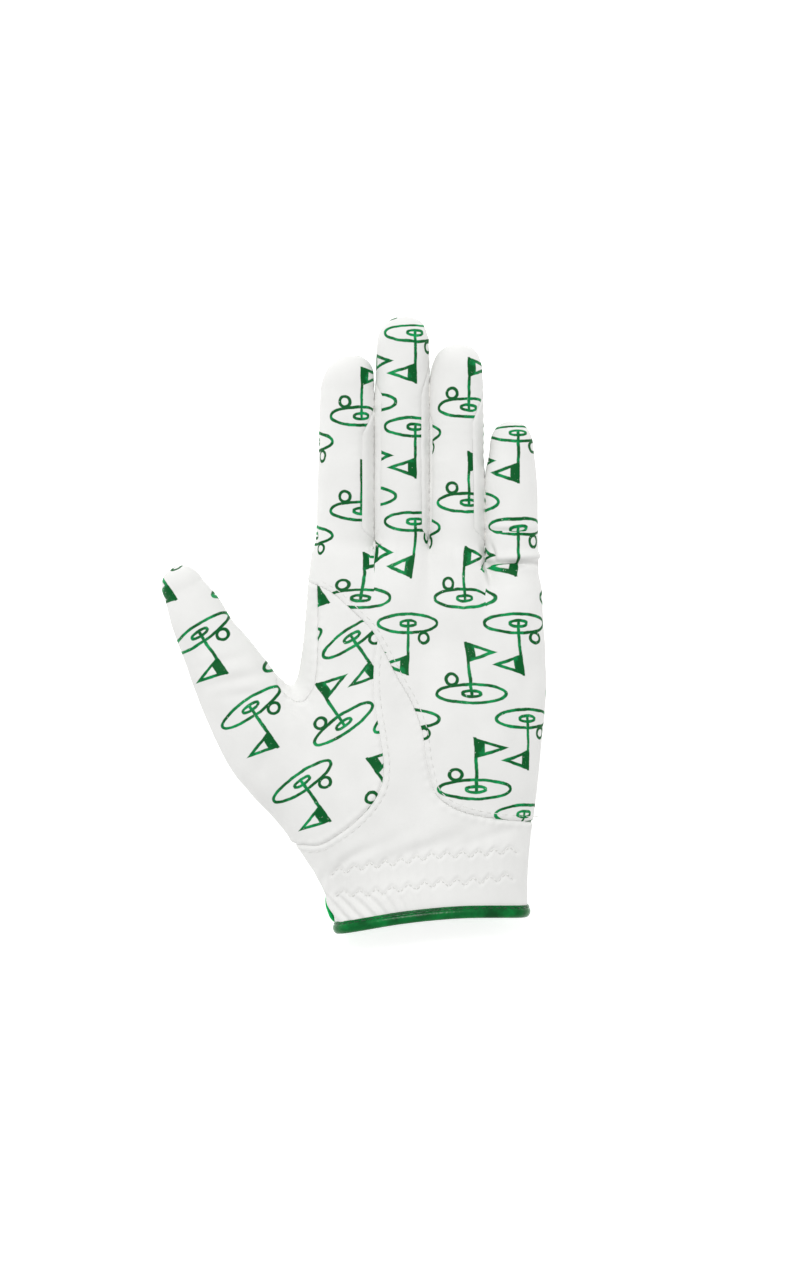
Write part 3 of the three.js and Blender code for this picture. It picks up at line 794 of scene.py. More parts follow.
def leather_grain(tree, place):
    """Cabretta's fine pores, about 0.6 mm apart, and the soft wrinkles of a stretched skin."""
    pores = add(tree, "TexVoronoi", {"Vector": place, "Scale": 1700}, feature="SMOOTH_F1")
    wrinkles = add(tree, "TexNoise", {"Vector": place, "Scale": 420, "Detail": 5, "Roughness": 0.6})
    broad = add(tree, "TexNoise", {"Vector": place, "Scale": 90, "Detail": 2, "Roughness": 0.5})
    height = add(tree, "Math", {0: pores[0], 1: 0.35, 2: wrinkles[0]}, operation="MULTIPLY_ADD")
    return add(tree, "Math", {0: broad[0], 1: 1.2, 2: height[0]}, operation="MULTIPLY_ADD")[0]


# Motif of the print, about its middle: a pin flag on a putting green with a ball.
POLE = ((0.0, -7.6), (0.0, 10.6))  # from its foot to its top
GREEN_MIDDLE, GREEN_REACH = (0.0, -7.4), (11.4, 3.3)
CUP_REACH = (2.9, 1.0)
PENNANT_TOP, PENNANT_DROP, PENNANT_REACH = 10.4, 3.1, 9.0  # drop is half its height at the pole
PENNANT_SOLID = 2.3  # how far from the pole it is filled in
BALL_MIDDLE, BALL_RADIUS = (-6.2, -2.2), 1.9
STROKE = 0.56  # half width of a printed line
INK_EDGE = 0.14  # half width of its soft edge


def pole_distance(tree, start):
    """How far a place is from the pole's stroke."""
    (x0, y0), (x1, y1) = POLE
    size = math.hypot(x1 - x0, y1 - y0)
    way = ((x1 - x0) / size**2, (y1 - y0) / size**2, 0)
    from_foot = add(tree, "VectorMath", {0: start, 1: (x0, y0, 0)}, operation="SUBTRACT")[0]
    share = add(tree, "VectorMath", {0: from_foot, 1: way}, operation="DOT_PRODUCT")["Value"]
    share = add(tree, "Math", {0: share, 1: 0.0}, operation="ADD", use_clamp=True)[0]
    beside_it = add(tree, "VectorMath", {0: (x1 - x0, y1 - y0, 0), "Scale": share}, operation="SCALE")[0]
    return add(tree, "VectorMath", {0: from_foot, 1: beside_it}, operation="DISTANCE")["Value"]


def oval_distance(tree, start, middle, reach):
    """How far a place is from an oval's outline, nearly."""
    shrink = (1 / reach[0], 1 / reach[1], 0)
    from_middle = add(tree, "VectorMath", {0: start, 1: (*middle, 0)}, operation="SUBTRACT")[0]
    once = add(tree, "VectorMath", {0: from_middle, 1: shrink}, operation="MULTIPLY")[0]
    twice = add(tree, "VectorMath", {0: once, 1: shrink}, operation="MULTIPLY")[0]
    level = add(tree, "VectorMath", {0: once}, operation="LENGTH")["Value"]
    slope = add(tree, "VectorMath", {0: twice}, operation="LENGTH")["Value"]
    beyond = add(tree, "Math", {0: level, 1: 1.0}, operation="SUBTRACT")[0]
    lifted = add(tree, "Math", {0: beyond, 1: level}, operation="MULTIPLY")[0]
    signed = add(tree, "Math", {0: lifted, 1: slope}, operation="DIVIDE")[0]
    return add(tree, "Math", {0: signed}, operation="ABSOLUTE")[0]


def pennant_level(tree, across, up):
    """0 on the pennant's outline, less inside it and more outside."""
    lean = math.atan2(PENNANT_DROP, PENNANT_REACH)
    rise = add(tree, "Math", {0: up, 1: PENNANT_TOP - PENNANT_DROP}, operation="SUBTRACT")[0]
    rise = add(tree, "Math", {0: rise}, operation="ABSOLUTE")[0]
    edge = {0: rise, 1: math.cos(lean), 2: -PENNANT_DROP * math.cos(lean)}
    slanted = add(tree, "Math", edge, operation="MULTIPLY_ADD")[0]
    slanted = add(tree, "Math", {0: across, 1: math.sin(lean), 2: slanted}, operation="MULTIPLY_ADD")[0]
    behind = add(tree, "Math", {0: across, 1: -1.0}, operation="MULTIPLY")[0]
    return add(tree, "Math", {0: slanted, 1: behind}, operation="MAXIMUM")[0]


def motif_group():
    """Ink of one motif at a place: how much of it, and how dark."""
    tree = bpy.data.node_groups.new("pin_flag_motif", "ShaderNodeTree")
    tree.interface.new_socket("Place", in_out="INPUT", socket_type="NodeSocketVector")
    tree.interface.new_socket("Ink", in_out="OUTPUT", socket_type="NodeSocketFloat")
    tree.interface.new_socket("Depth", in_out="OUTPUT", socket_type="NodeSocketFloat")
    start = tree.nodes.new("NodeGroupInput").outputs[0]
    end = tree.nodes.new("NodeGroupOutput").inputs
    split = add(tree, "SeparateXYZ", {0: start})
    across, up = split["X"], split["Y"]
    pennant = pennant_level(tree, across, up)
    past_solid = add(tree, "Math", {0: across, 1: PENNANT_SOLID}, operation="SUBTRACT")[0]
    strokes = [
        pole_distance(tree, start),
        oval_distance(tree, start, GREEN_MIDDLE, GREEN_REACH),
        oval_distance(tree, start, GREEN_MIDDLE, CUP_REACH),
        oval_distance(tree, start, BALL_MIDDLE, (BALL_RADIUS, BALL_RADIUS)),
        add(tree, "Math", {0: pennant}, operation="ABSOLUTE")[0],
        add(tree, "Math", {0: pennant, 1: past_solid}, operation="MAXIMUM")[0],
    ]
    nearest = strokes[0]
    for stroke in strokes[1:]:
        nearest = add(tree, "Math", {0: nearest, 1: stroke}, operation="MINIMUM")[0]
    fade = {"Value": nearest, "From Min": STROKE - INK_EDGE, "From Max": STROKE + INK_EDGE}
    fade.update({"To Min": 1.0, "To Max": 0.0})
    ink = add(tree, "MapRange", fade, interpolation_type="SMOOTHSTEP")[0]
    near_pole = {"Value": past_solid, "From Min": -3.0, "From Max": 2.0, "To Min": 1.0, "To Max": 0.0}
    depth = add(tree, "MapRange", near_pole)[0]
    high = add(tree, "MapRange", {"Value": up, "From Min": 2.0, "From Max": 6.0})[0]
    depth = add(tree, "Math", {0: depth, 1: high}, operation="MULTIPLY")[0]
    tree.links.new(ink, end[0])
    tree.links.new(depth, end[1])
    return tree


def print_ink(tree):
    """The repeat: upright motifs on one lattice and inverted ones between them, drawn a little unsteadily."""
    motif = motif_group()
    place = add(tree, "UVMap", uv_map="print")[0]
    shake = add(tree, "TexNoise", {"Vector": place, "Scale": 0.22, "Detail": 3})["Color"]
    shake = add(tree, "VectorMath", {0: shake, 1: (0.5, 0.5, 0.5)}, operation="SUBTRACT")[0]
    shake = add(tree, "VectorMath", {0: shake, "Scale": 0.9}, operation="SCALE")[0]
    place = add(tree, "VectorMath", {0: place, 1: shake}, operation="ADD")[0]
    across = add(tree, "SeparateXYZ", {0: place})["X"]
    half = [p / 2 for p in PRINT_PITCH]
    inks, depths = [], []
    for origin, way in ((UPRIGHT_ORIGIN, 1), (UPRIGHT_ORIGIN + INVERTED_OFFSET, -1)):
        from_origin = add(tree, "VectorMath", {0: place, 1: (*origin, 0)}, operation="SUBTRACT")[0]
        repeat = {0: from_origin, 1: (*half, 1), 2: (-half[0], -half[1], -1)}
        wrapped = add(tree, "VectorMath", repeat, operation="WRAP")[0]
        turned = add(tree, "VectorMath", {0: wrapped, 1: (way, way, 0)}, operation="MULTIPLY")[0]
        ink, depth = add(tree, "Group", {0: turned}, node_tree=motif)
        # The thumb's outer side stays plain: its first column of upright motifs isn't printed.
        first = origin[0] - THUMB_PRINT_SHIFT + way * half[0]
        printed = add(tree, "Math", {0: across, 1: first}, operation="GREATER_THAN")[0]
        inks.append(add(tree, "Math", {0: ink, 1: printed}, operation="MULTIPLY")[0])
        depths.append(depth)
    ink = add(tree, "Math", {0: inks[0], 1: inks[1]}, operation="MAXIMUM")[0]
    depth = add(tree, "Math", {0: depths[0], 1: depths[1]}, operation="MAXIMUM")[0]
    return place, ink, depth


def white_leather_material(name, printed):
    """Sheepskin (cabretta), dyed white and softly finished: matt, fine grained, very slightly mottled."""
    material, tree, shader = new_material(name, Roughness=0.7, IOR=1.42, **{"Specular IOR Level": 0.15})
    place = add(tree, "TexCoord")["Object"]
    mottle = add(tree, "TexNoise", {"Vector": place, "Scale": 60, "Detail": 4, "Roughness": 0.55})
    colour = two_tones(tree, mottle[0], "#e5e5e3", "#ececea", 0.3, 0.7)
    if printed:
        # Screen print in green ink: dark and solid in the pennant, thinner along the lines, with few skips.
        flat, ink, depth = print_ink(tree)
        patchy = add(tree, "TexNoise", {"Vector": flat, "Scale": 0.22, "Detail": 3, "Roughness": 0.6})[0]
        tone = add(tree, "MapRange", {"Value": patchy, "From Min": 0.4, "From Max": 0.66})[0]
        tone = add(tree, "Math", {0: tone, 1: depth}, operation="SUBTRACT", use_clamp=True)[0]
        green = two_tones(tree, tone, "#005a26", "#0a9a55")
        skips = add(tree, "TexNoise", {"Vector": flat, "Scale": 0.9, "Detail": 4, "Roughness": 0.7})[0]
        skips = add(tree, "MapRange", {"Value": skips, "From Min": 0.27, "From Max": 0.36})[0]
        cover = add(tree, "Math", {0: ink, 1: skips}, operation="MULTIPLY")[0]
        colour = add(tree, "Mix", {0: cover, 6: colour, 7: green}, data_type="RGBA")[2]
        rough = add(tree, "MapRange", {"Value": cover, "To Min": 0.7, "To Max": 0.55})[0]
        tree.links.new(rough, shader.inputs["Roughness"])
    finish(tree, shader, colour, leather_grain(tree, place), 0.22, 0.00022)
    return material


def suede_material():
    """The flesh side of the leather, buffed to a short nap: dull, warm white and slightly fuzzy."""
    sheen = {"Sheen Weight": 0.35, "Sheen Roughness": 0.6}
    material, tree, shader = new_material("suede_inside", Roughness=0.9, IOR=1.45, **sheen)
    place = add(tree, "TexCoord")["Object"]
    nap = add(tree, "TexNoise", {"Vector": place, "Scale": 900, "Detail": 6, "Roughness": 0.75})[0]
    # Colour follows the nap's relief: the darker tone where the nap is low is painted shade, the lighter tone
    # where it stands up painted light.
    finish(tree, shader, two_tones(tree, nap, "#dcdad4", "#e9e7e2"), nap, 0.5, 0.0003)
    return material


def coated_leather_material(name, dark, light, roughness):
    """Microfibre coated with pressed polyurethane: a smooth satin skin with a grain about 0.8 mm wide."""
    material, tree, shader = new_material(name, Roughness=roughness, IOR=1.5, **{"Specular IOR Level": 0.2})
    place = add(tree, "TexCoord")["Object"]
    grain = add(tree, "TexVoronoi", {"Vector": place, "Scale": 1300}, feature="SMOOTH_F1")[0]
    tone = add(tree, "TexNoise", {"Vector": place, "Scale": 160, "Detail": 4, "Roughness": 0.6})[0]
    finish(tree, shader, two_tones(tree, tone, dark, light, 0.35, 0.72), grain, 0.35, 0.0002)
    return material


def thread_material(name, dark, light):
    """Polyester sewing thread, twisted from three plies, which shows as slanted ridges 0.7 mm apart."""
    sheen = {"Sheen Weight": 0.3, "Sheen Roughness": 0.4}
    material, tree, shader = new_material(name, Roughness=0.5, IOR=1.5, **sheen)
    place = add(tree, "TexCoord")["Object"]
    bands = {"Vector": place, "Scale": 900, "Distortion": 1.5}
    plies = add(tree, "TexWave", bands, bands_direction="DIAGONAL")["Fac"]
    # Colour follows the ply ridges' height: the dark tone in the grooves between them is painted shade, the
    # light tone on their tops painted light.
    finish(tree, shader, two_tones(tree, plies, dark, light), plies, 0.4, 0.00008)
    return material


def pile_material():
    """Hook-and-loop tape of woven and brushed nylon: a dull fuzz of loops about 0.4 mm across."""
    sheen = {"Sheen Weight": 0.6, "Sheen Roughness": 0.4}
    material, tree, shader = new_material("nylon_pile", Roughness=0.85, IOR=1.5, **sheen)
    place = add(tree, "TexCoord")["Object"]
    loops = add(tree, "TexVoronoi", {"Vector": place, "Scale": 2300, "Randomness": 0.9})[0]
    fuzz = add(tree, "TexNoise", {"Vector": place, "Scale": 1500, "Detail": 6, "Roughness": 0.8})[0]
    height = add(tree, "Math", {0: loops, 1: fuzz}, operation="ADD")[0]
    # Colour follows the loops' relief: the darker green in the pits between loops is painted shade, the
    # lighter green on the loops painted light.
    finish(tree, shader, two_tones(tree, loops, "#0a6a33", "#13984c"), height, 0.9, 0.0005)
    return material


def elastic_material():
    """Woven elastic tape: matt off-white with ribs 1.2 mm apart along its length."""
    material, tree, shader = new_material("woven_elastic", Roughness=0.8, IOR=1.45)
    place = add(tree, "TexCoord")["Object"]
    bands = {"Vector": place, "Scale": 260, "Distortion": 0.4}
    ribs = add(tree, "TexWave", bands, bands_direction="Y")["Fac"]
    weave = add(tree, "TexNoise", {"Vector": place, "Scale": 1800, "Detail": 3})[0]
    height = add(tree, "Math", {0: weave, 1: 0.4, 2: ribs}, operation="MULTIPLY_ADD")[0]
    # Colour follows the relief: the first tone is painted shade in the hollows between ribs and threads, the
    # second painted light on their tops.
    finish(tree, shader, two_tones(tree, height, "#d2d0c9", "#e8e6e1"), height, 0.6, 0.0003)
    return material


printed_leather = white_leather_material("cabretta_printed", True)
plain_leather = white_leather_material("cabretta_white", False)
suede = suede_material()
binding_leather = coated_leather_material("coated_binding_dark_green", "#004a1e", "#007c36", 0.26)
tab_leather = coated_leather_material("coated_tab_bright_green", "#00a44c", "#08be62", 0.4)
# The first tone of each thread is painted shade in the grooves between its plies, the second painted light on
# their ridges.
white_polyester = thread_material("polyester_thread_white", "#d8d8d4", "#ececea")
green_polyester = thread_material("polyester_thread_green", "#043417", "#0b582a")
pile = pile_material()
elastic_weave = elastic_material()


# ---- Pieces ----
def add_piece(name, points, faces, body, slot, materials, node=None, place=None):
    """A mesh from points in mm, which rides on a body and may stand for a CAD node."""
    faces = np.asarray(faces)
    count, corners = faces.shape
    mesh = bpy.data.meshes.new(name)
    mesh.vertices.add(len(points))
    mesh.vertices.foreach_set("co", (np.asarray(points) * MM).astype(np.float32).ravel())
    mesh.loops.add(count * corners)
    mesh.loops.foreach_set("vertex_index", faces.astype(np.int32).ravel())
    mesh.polygons.add(count)
    mesh.polygons.foreach_set("loop_start", np.arange(0, count * corners, corners, dtype=np.int32))
    mesh.polygons.foreach_set("use_smooth", np.ones(count, bool))
    for material in materials:
        mesh.materials.append(material)
    if place is not None:
        layer = mesh.uv_layers.new(name="print")
        layer.data.foreach_set("uv", place[faces.ravel()].astype(np.float32).ravel())
    mesh.update(calc_edges=True)
    mesh.validate()
    piece = bpy.data.objects.new(name, mesh)
    bpy.context.scene.collection.objects.link(piece)
    if body:
        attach(piece, body)
    if node:
        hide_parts(node)
    return piece


def on_surface(field, axes):
    """The skin of the filled form, with each point moved close to where the field is 0."""
    points, quads = surface_net(field, axes)
    for _ in range(3):
        rise = uphill(field, axes, points)
        steep = (rise * rise).sum(1) + 1e-3
        points = points - rise * np.clip(sample(field, axes, points) / steep, -0.3, 0.3)[:, None]
    return Skin(points, np.vstack([quads[:, [0, 1, 2]], quads[:, [0, 2, 3]]]))


axes = grid_axes()
field = glove_field(axes)
skin = on_surface(field, axes)
cut_panels(skin)
smooth_points = skin.points
print_places = {
    "palm": hand_print_place(smooth_points), "back": hand_print_place(smooth_points, back=True),
    "thumb": thumb_print_place(smooth_points), "thumb_back": thumb_print_place(smooth_points, back=True),
}


def outward(points):
    """The way out of the leather at some points."""
    rise = uphill(field, axes, points)
    return rise / (np.linalg.norm(rise, axis=1, keepdims=True) + 1e-9)


skin.points = smooth_points + outward(smooth_points) * relief(smooth_points)[:, None]
leather_tree = BVHTree.FromPolygons(skin.points.tolist(), skin.triangles.tolist())


def add_leather(node, chosen, place=None):
    """Chosen triangles as leather with suede inside, printed where the print's places are given."""
    triangles = skin.triangles[chosen]
    used, faces = np.unique(triangles, return_inverse=True)
    slot, outside = "white_leather", plain_leather
    if place is not None:
        slot, outside, place = "printed_leather", printed_leather, place[used]
    piece = add_piece(node + "_leather", skin.points[used], faces.reshape(triangles.shape), "glove", slot,
                      [outside, suede], node, place)
    modifier = piece.modifiers.new("thickness", "SOLIDIFY")
    modifier.thickness = LEATHER * MM
    modifier.offset = -1.0
    modifier.material_offset = 1
    modifier.material_offset_rim = 1


LEATHER_PANELS = [
    ("palm_trank", PALM, "palm"), ("thumb_thenar_panel", THUMB_PANEL, "thumb"),
    ("index_side_quirk", QUIRK, None), ("heel_wrist_panel", HEEL, None),
    ("back_trank", BACK, "back"), ("thumb_back_panel", THUMB_BACK, "thumb_back"),
]


def make_panels():
    for node, panel, print_name in LEATHER_PANELS:
        add_leather(node, skin.panel == panel, print_places.get(print_name))


def make_side_strips():
    """The strips between the fingers, each cut from its finger's side of the skin."""
    middle = smooth_points[skin.triangles].mean(1)
    on_finger = finger_of(middle)
    for number, (name, finger) in enumerate(FINGERS.items()):
        centre = finger_shape(finger, middle[:, 1])[0]
        for side in finger["forks"]:
            on_side = middle[:, 0] > centre if side == "ulnar" else middle[:, 0] < centre
            chosen = (skin.panel == STRIP) & (on_finger == number) & on_side
            add_leather(f"fourchette_{name}_{side}", chosen)


make_panels()
make_side_strips()


# ---- Stitches, and strips that follow the leather ----
def shifted(line, off):
    """A line moved to its left."""
    step = np.gradient(line, axis=0)
    step /= np.linalg.norm(step, axis=1, keepdims=True)
    return line + off * np.stack([-step[:, 1], step[:, 0]], 1)


def row_ends(line, pitch, share=0.74):
    """Both ends of each stitch of a row along a line."""
    whole = lengths(line)[-1]
    count = int(whole // pitch)
    start = (np.arange(count) + (1 - share) / 2) * pitch + (whole - count * pitch) / 2
    return at_length(line, start), at_length(line, start + share * pitch)


def on_palm(places):
    """Points on the palm side at places in X and Y, and the way out of the leather there."""
    down = Vector((0, 0, -1))
    hits = [leather_tree.ray_cast(Vector((x, y, 60)), down)[0] for x, y in places]
    hits = np.array([tuple(h) if h else (x, y, 14) for h, (x, y) in zip(hits, places)])
    return hits, outward(hits)


# A stitch from hole to hole: share of its length, and share of its thickness there.
STITCH_RINGS = [(0.0, 0.30), (0.1, 0.8), (0.28, 1.0), (0.5, 1.04), (0.72, 1.0), (0.9, 0.8), (1.0, 0.30)]
SIDES = 6


def stitch_mesh(starts, ends, out, radius, arch, sink):
    """Short round-ended threads that arch up between their two holes."""
    along = ends - starts
    along /= np.linalg.norm(along, axis=1, keepdims=True) + 1e-9
    side = np.cross(along, out)
    side /= np.linalg.norm(side, axis=1, keepdims=True) + 1e-9
    up = np.cross(side, along)
    rings = []
    for t, share in STITCH_RINGS:
        middle = starts + t * (ends - starts) + out * (arch * math.sin(math.pi * t) - sink)
        for k in range(SIDES):
            turn = 2 * math.pi * k / SIDES
            rings.append(middle + radius * share * (math.cos(turn) * side + math.sin(turn) * up))
    rows = len(STITCH_RINGS)
    points = np.stack(rings, 1).reshape(-1, 3)
    one = []
    for i in range(rows - 1):
        for k in range(SIDES):
            j = (k + 1) % SIDES
            one.append([i * SIDES + j, i * SIDES + k, (i + 1) * SIDES + k, (i + 1) * SIDES + j])
    last = (rows - 1) * SIDES
    one += [[0, 1, 2, 3], [0, 3, 4, 5]]
    one += [[last + 3, last + 2, last + 1, last], [last + 5, last + 4, last + 3, last]]
    faces = np.array(one)[None] + (np.arange(len(starts)) * rows * SIDES)[:, None, None]
    return points, faces.reshape(-1, 4)


def add_stitches(name, ends, body, slot, material, node=None, radius=0.27, arch=0.22, sink=0.16):
    """Stitches from (starts, ends, way out)."""
    points, faces = stitch_mesh(*ends, radius, arch, sink)
    return add_piece(name, points, faces, body, slot, [material], node)


def topstitch(seam, off, first, last):
    """Stitches beside a seam of the palm side, between two shares of its length."""
    line = shifted(seam, off)
    whole = lengths(line)[-1]
    starts, ends = row_ends(at_length(line, np.linspace(first * whole, last * whole, 400)), STITCH_PITCH)
    (a, out), (b, _) = on_palm(starts), on_palm(ends)
    return a, b, out


def zigzag_stitches(row):
    """Two stitches along each side of the zigzag."""
    corners = zigzag_corners(row)
    a, b = corners[:-1], corners[1:]
    starts = np.concatenate([a + 0.05 * (b - a), a + 0.55 * (b - a)])
    ends = np.concatenate([a + 0.45 * (b - a), a + 0.95 * (b - a)])
    (low, out), (high, _) = on_palm(starts), on_palm(ends)
    return low, high, out


TOPSTITCHED = {
    "thenar_topstitch": topstitch(thenar_line, THENAR_TOPSTITCH, 0.04, 0.86),
    "palm_topstitch": topstitch(palm_line, PALM_TOPSTITCH, 0.03, 0.97),
}
for name, ends in TOPSTITCHED.items():
    add_stitches(name, ends, "glove", "white_thread", white_polyester, radius=0.15, sink=0.1)
for row in ZIGZAG_ROWS:
    add_stitches("zigzag_" + row, zigzag_stitches(row), "glove", "white_thread", white_polyester,
                 "zigzag_thread_" + row)


def loft(rings):
    """Triangles between rings of points, with both ends closed."""
    count, across = rings.shape[:2]
    points = rings.reshape(-1, 3)
    i, k = np.meshgrid(np.arange(count - 1), np.arange(across), indexing="ij")
    i, k = i.ravel(), k.ravel()
    a, b = i * across + k, i * across + (k + 1) % across
    c, d = b + across, a + across
    faces = [np.stack([a, b, c], 1), np.stack([a, c, d], 1)]
    middles = np.stack([rings[0].mean(0), rings[-1].mean(0)])
    k = np.arange(across)
    first, last = len(points), len(points) + 1
    start = (count - 1) * across
    faces.append(np.stack([(k + 1) % across, k, np.full(across, first)], 1))
    faces.append(np.stack([start + k, start + (k + 1) % across, np.full(across, last)], 1))
    points, faces = np.vstack([points, middles]), np.vstack(faces)
    corners = points[faces] - points.mean(0)
    volume = (corners[:, 0] * np.cross(corners[:, 1], corners[:, 2])).sum()
    return points, faces if volume > 0 else faces[:, ::-1]


WRIST_AXIS = (27.4, 16.0)  # x and z of a line through the middle of the wrist


def cuff_hit(turn, y):
    """Where a ray from the wrist's middle meets the leather. Turn 0 is down, 90 degrees the thumb's side."""
    way = Vector((-math.sin(turn), 0, -math.cos(turn)))
    return np.array(leather_tree.ray_cast(Vector((WRIST_AXIS[0], y, WRIST_AXIS[1])), way)[0])


def evened(rows, times):
    """Rows of points with small waves taken out."""
    for _ in range(times):
        rows = rows.copy()
        rows[1:-1] = (rows[:-2] + 2 * rows[1:-1] + rows[2:]) / 4
    return rows


WRAP_ROW = 1.5


class Wrap:
    """The cuff's smooth outside by distance round the wrist from where x = zero_x, and by y."""

    def __init__(self, first, last, zero_x, low, high):
        self.ys = np.arange(-113, -75, WRAP_ROW)
        self.reach = np.arange(low, high, 1.0)
        turns = np.radians(np.arange(first, last, 1.5))
        sheet = []
        for y in self.ys:
            line = evened(np.array([cuff_hit(turn, y) for turn in turns]), 6)
            length, ahead = lengths(line), line[:, 0] - zero_x
            k = np.flatnonzero(ahead[:-1] * ahead[1:] <= 0)[0]
            zero = length[k] + (length[k + 1] - length[k]) * ahead[k] / (ahead[k] - ahead[k + 1])
            sheet.append(at_length(line, self.reach + zero))
        self.sheet = evened(np.stack(sheet), 3)
        out = np.cross(np.gradient(self.sheet, axis=1), np.gradient(self.sheet, axis=0))
        self.out = out / (np.linalg.norm(out, axis=2, keepdims=True) + 1e-9)

    def place(self, reach, y, off=0.0):
        """Points at some distance off the leather, and the way out there."""
        reach, y, off = np.broadcast_arrays(*(np.asarray(v, float) for v in (reach, y, off)))
        i = np.clip((y - self.ys[0]) / WRAP_ROW, 0, len(self.ys) - 1.001)
        k = np.clip(reach - self.reach[0], 0, len(self.reach) - 1.001)
        i0, k0 = i.astype(int), k.astype(int)
        u, v = (i - i0)[..., None], (k - k0)[..., None]

        def mixed(grid):
            low = (1 - v) * grid[i0, k0] + v * grid[i0, k0 + 1]
            return (1 - u) * low + u * ((1 - v) * grid[i0 + 1, k0] + v * grid[i0 + 1, k0 + 1])

        out = mixed(self.out)
        return mixed(self.sheet) + out * off[..., None], out


# From and to in degrees round the wrist, x of the zero line, and the distances from there that are needed.
back_wrap = Wrap(-84, 122, TAB_ROOT_X, -13, 66)
palm_wrap = Wrap(84, 276, WRIST_AXIS[0], -46, 44)

EDGE = 0.45  # radius of a strip's soft edges


def rounded(inside, radius=EDGE):
    """Share of the thickness at some distance inside an outline."""
    t = np.clip(inside / radius, 0, 1)
    return np.sqrt(1 - (1 - t) ** 2)


def strip_place(line, along, across):
    """Reach and y of places along and across a strip."""
    middle = at_length(line, along)
    step = at_length(line, along + 0.5) - at_length(line, along - 0.5)
    step /= np.linalg.norm(step, axis=-1, keepdims=True)
    return middle + across[:, None] * np.stack([-step[:, 1], step[:, 0]], 1)


def strip(wrap, line, half, inner, outer, tip=0.0):
    """A soft-edged strip along a line of (reach, y), between two distances off the leather."""
    whole = lengths(line)[-1]
    near = np.array([0, 0.03, 0.1, 0.22, 0.4])
    between_ends = np.linspace(0.9, whole - 0.9, max(4, round(whole * 0.9)))
    at = np.unique(np.concatenate([near, between_ends, whole - near]))
    if tip:
        round_end = whole - tip * (1 - np.sin(np.linspace(0, 1, 16) * math.pi / 2))
        at = np.concatenate([at[at < whole - tip - 0.3], round_end])
    v = np.sin(np.linspace(-1, 1, 19) * math.pi / 2)
    rings = []
    for d in at:
        width = float(np.interp(d, np.linspace(0, whole, len(half)), half))
        if tip:
            width *= math.sqrt(max(1 - max(d - whole + tip, 0) ** 2 / tip**2, 1e-4))
        share = rounded(width * (1 - abs(v))) * rounded(min(d, whole - d))
        reach, y = strip_place(line, np.full(len(v), d), width * v).T
        middle, thick = (inner + outer) / 2, (outer - inner) / 2 * share
        rings.append(np.vstack([wrap.place(reach, y, middle + thick)[0],
                                wrap.place(reach, y, middle - thick)[0][::-1]]))
    return loft(np.stack(rings))


def strip_outline(line, half, tip, inset):
    """A path round a strip, `inset` from its edges: up one side, round its tip and back."""
    whole = lengths(line)[-1]
    d = np.linspace(inset, whole - tip, 60)
    turn = np.linspace(math.pi / 2, -math.pi / 2, 40)
    along = np.concatenate([d, whole - tip + (tip - inset) * np.cos(turn), d[::-1]])
    width = np.interp(along, np.linspace(0, whole, len(half)), half) - inset
    side = np.concatenate([np.ones(60), np.sin(turn), -np.ones(60)])
    return strip_place(line, along, width * side)


def cuff_row(wrap, path, pitch, off):
    """Stitches along a path on the cuff, at some distance off the leather."""
    starts, ends = row_ends(path, pitch)
    a, out = wrap.place(*starts.T, off)
    return a, wrap.place(*ends.T, off)[0], out


# Closure on the back of the wrist. Lines are (reach from the tab's root, y), and layers are distances off the
# leather.
STRAP_LINE = smooth_line([[-10.2, -91], [0, -91], [22, -93.4], [38, -97.4], [46, -100.3], [51.6, -102.4]])
STRAP_HALF = [9, 8.7, 8.5, 8.0, 7.0]
STRAP_TIP = 5.0
STRAP_LAYER = (2.05, 2.95)
ROOT_LINE = np.array([[-10.0, -91], [-0.4, -91]])
ROOT_HALF = [8.8, 8.8]
ROOT_LAYER = (0.1, 2.1)
PAD_TIP = 6.5
LOOP_LINE = smooth_line([[23, -93], [38, -95.6], [50.5, -98.2]])
LOOP_HALF = [6.6, 6.8]
LOOP_LAYER = (0.1, 0.85)
HOOK_LINE = smooth_line([[24.2, -93.2], [38, -96], [49.2, -98.6]])
HOOK_HALF = [5.4, 5.6]
HOOK_LAYER = (1.3, 2.1)
SLIT_REACH = TAB_ROOT_X - SLIT_TOP[0]
FACING_LINE = smooth_line([
    [SLIT_REACH + 3.3, -101.8], [SLIT_REACH + 2.5, -84.5], [SLIT_REACH + 1.6, -81.6], [SLIT_REACH, -80.4],
    [SLIT_REACH - 1.6, -81.6], [SLIT_REACH - 2.5, -84.5], [SLIT_REACH - 3.3, -101.8],
], 0.5)
FACING_HALF = [1.3, 1.3]
FACING_LAYER = (0.0, 0.85)
ELASTIC_LINE = smooth_line([[-35, -91.6], [-12, -88.9], [14, -86.3], [31, -84.8]])
ELASTIC_HALF = [5.8, 6.2, 6.6]
ELASTIC_LAYER = (-1.5, -0.66)
TAPES = [
    ("strap_root", "tab_anchor", "glove", "green_tab", tab_leather,
     strip(back_wrap, ROOT_LINE, ROOT_HALF, *ROOT_LAYER)),
    ("loop_tape", "loop_pad", "glove", "green_pile", pile,
     strip(back_wrap, LOOP_LINE, LOOP_HALF, *LOOP_LAYER, PAD_TIP)),
    ("hook_tape", "hook_pad", "tab", "green_pile", pile,
     strip(back_wrap, HOOK_LINE, HOOK_HALF, *HOOK_LAYER, PAD_TIP - 1)),
    ("slit_binding", "slit_facing", "glove", "green_binding", binding_leather,
     strip(back_wrap, FACING_LINE, FACING_HALF, *FACING_LAYER)),
    ("wrist_elastic_tape", "wrist_elastic", "glove", "white_elastic", elastic_weave,
     strip(palm_wrap, ELASTIC_LINE, ELASTIC_HALF, *ELASTIC_LAYER)),
]


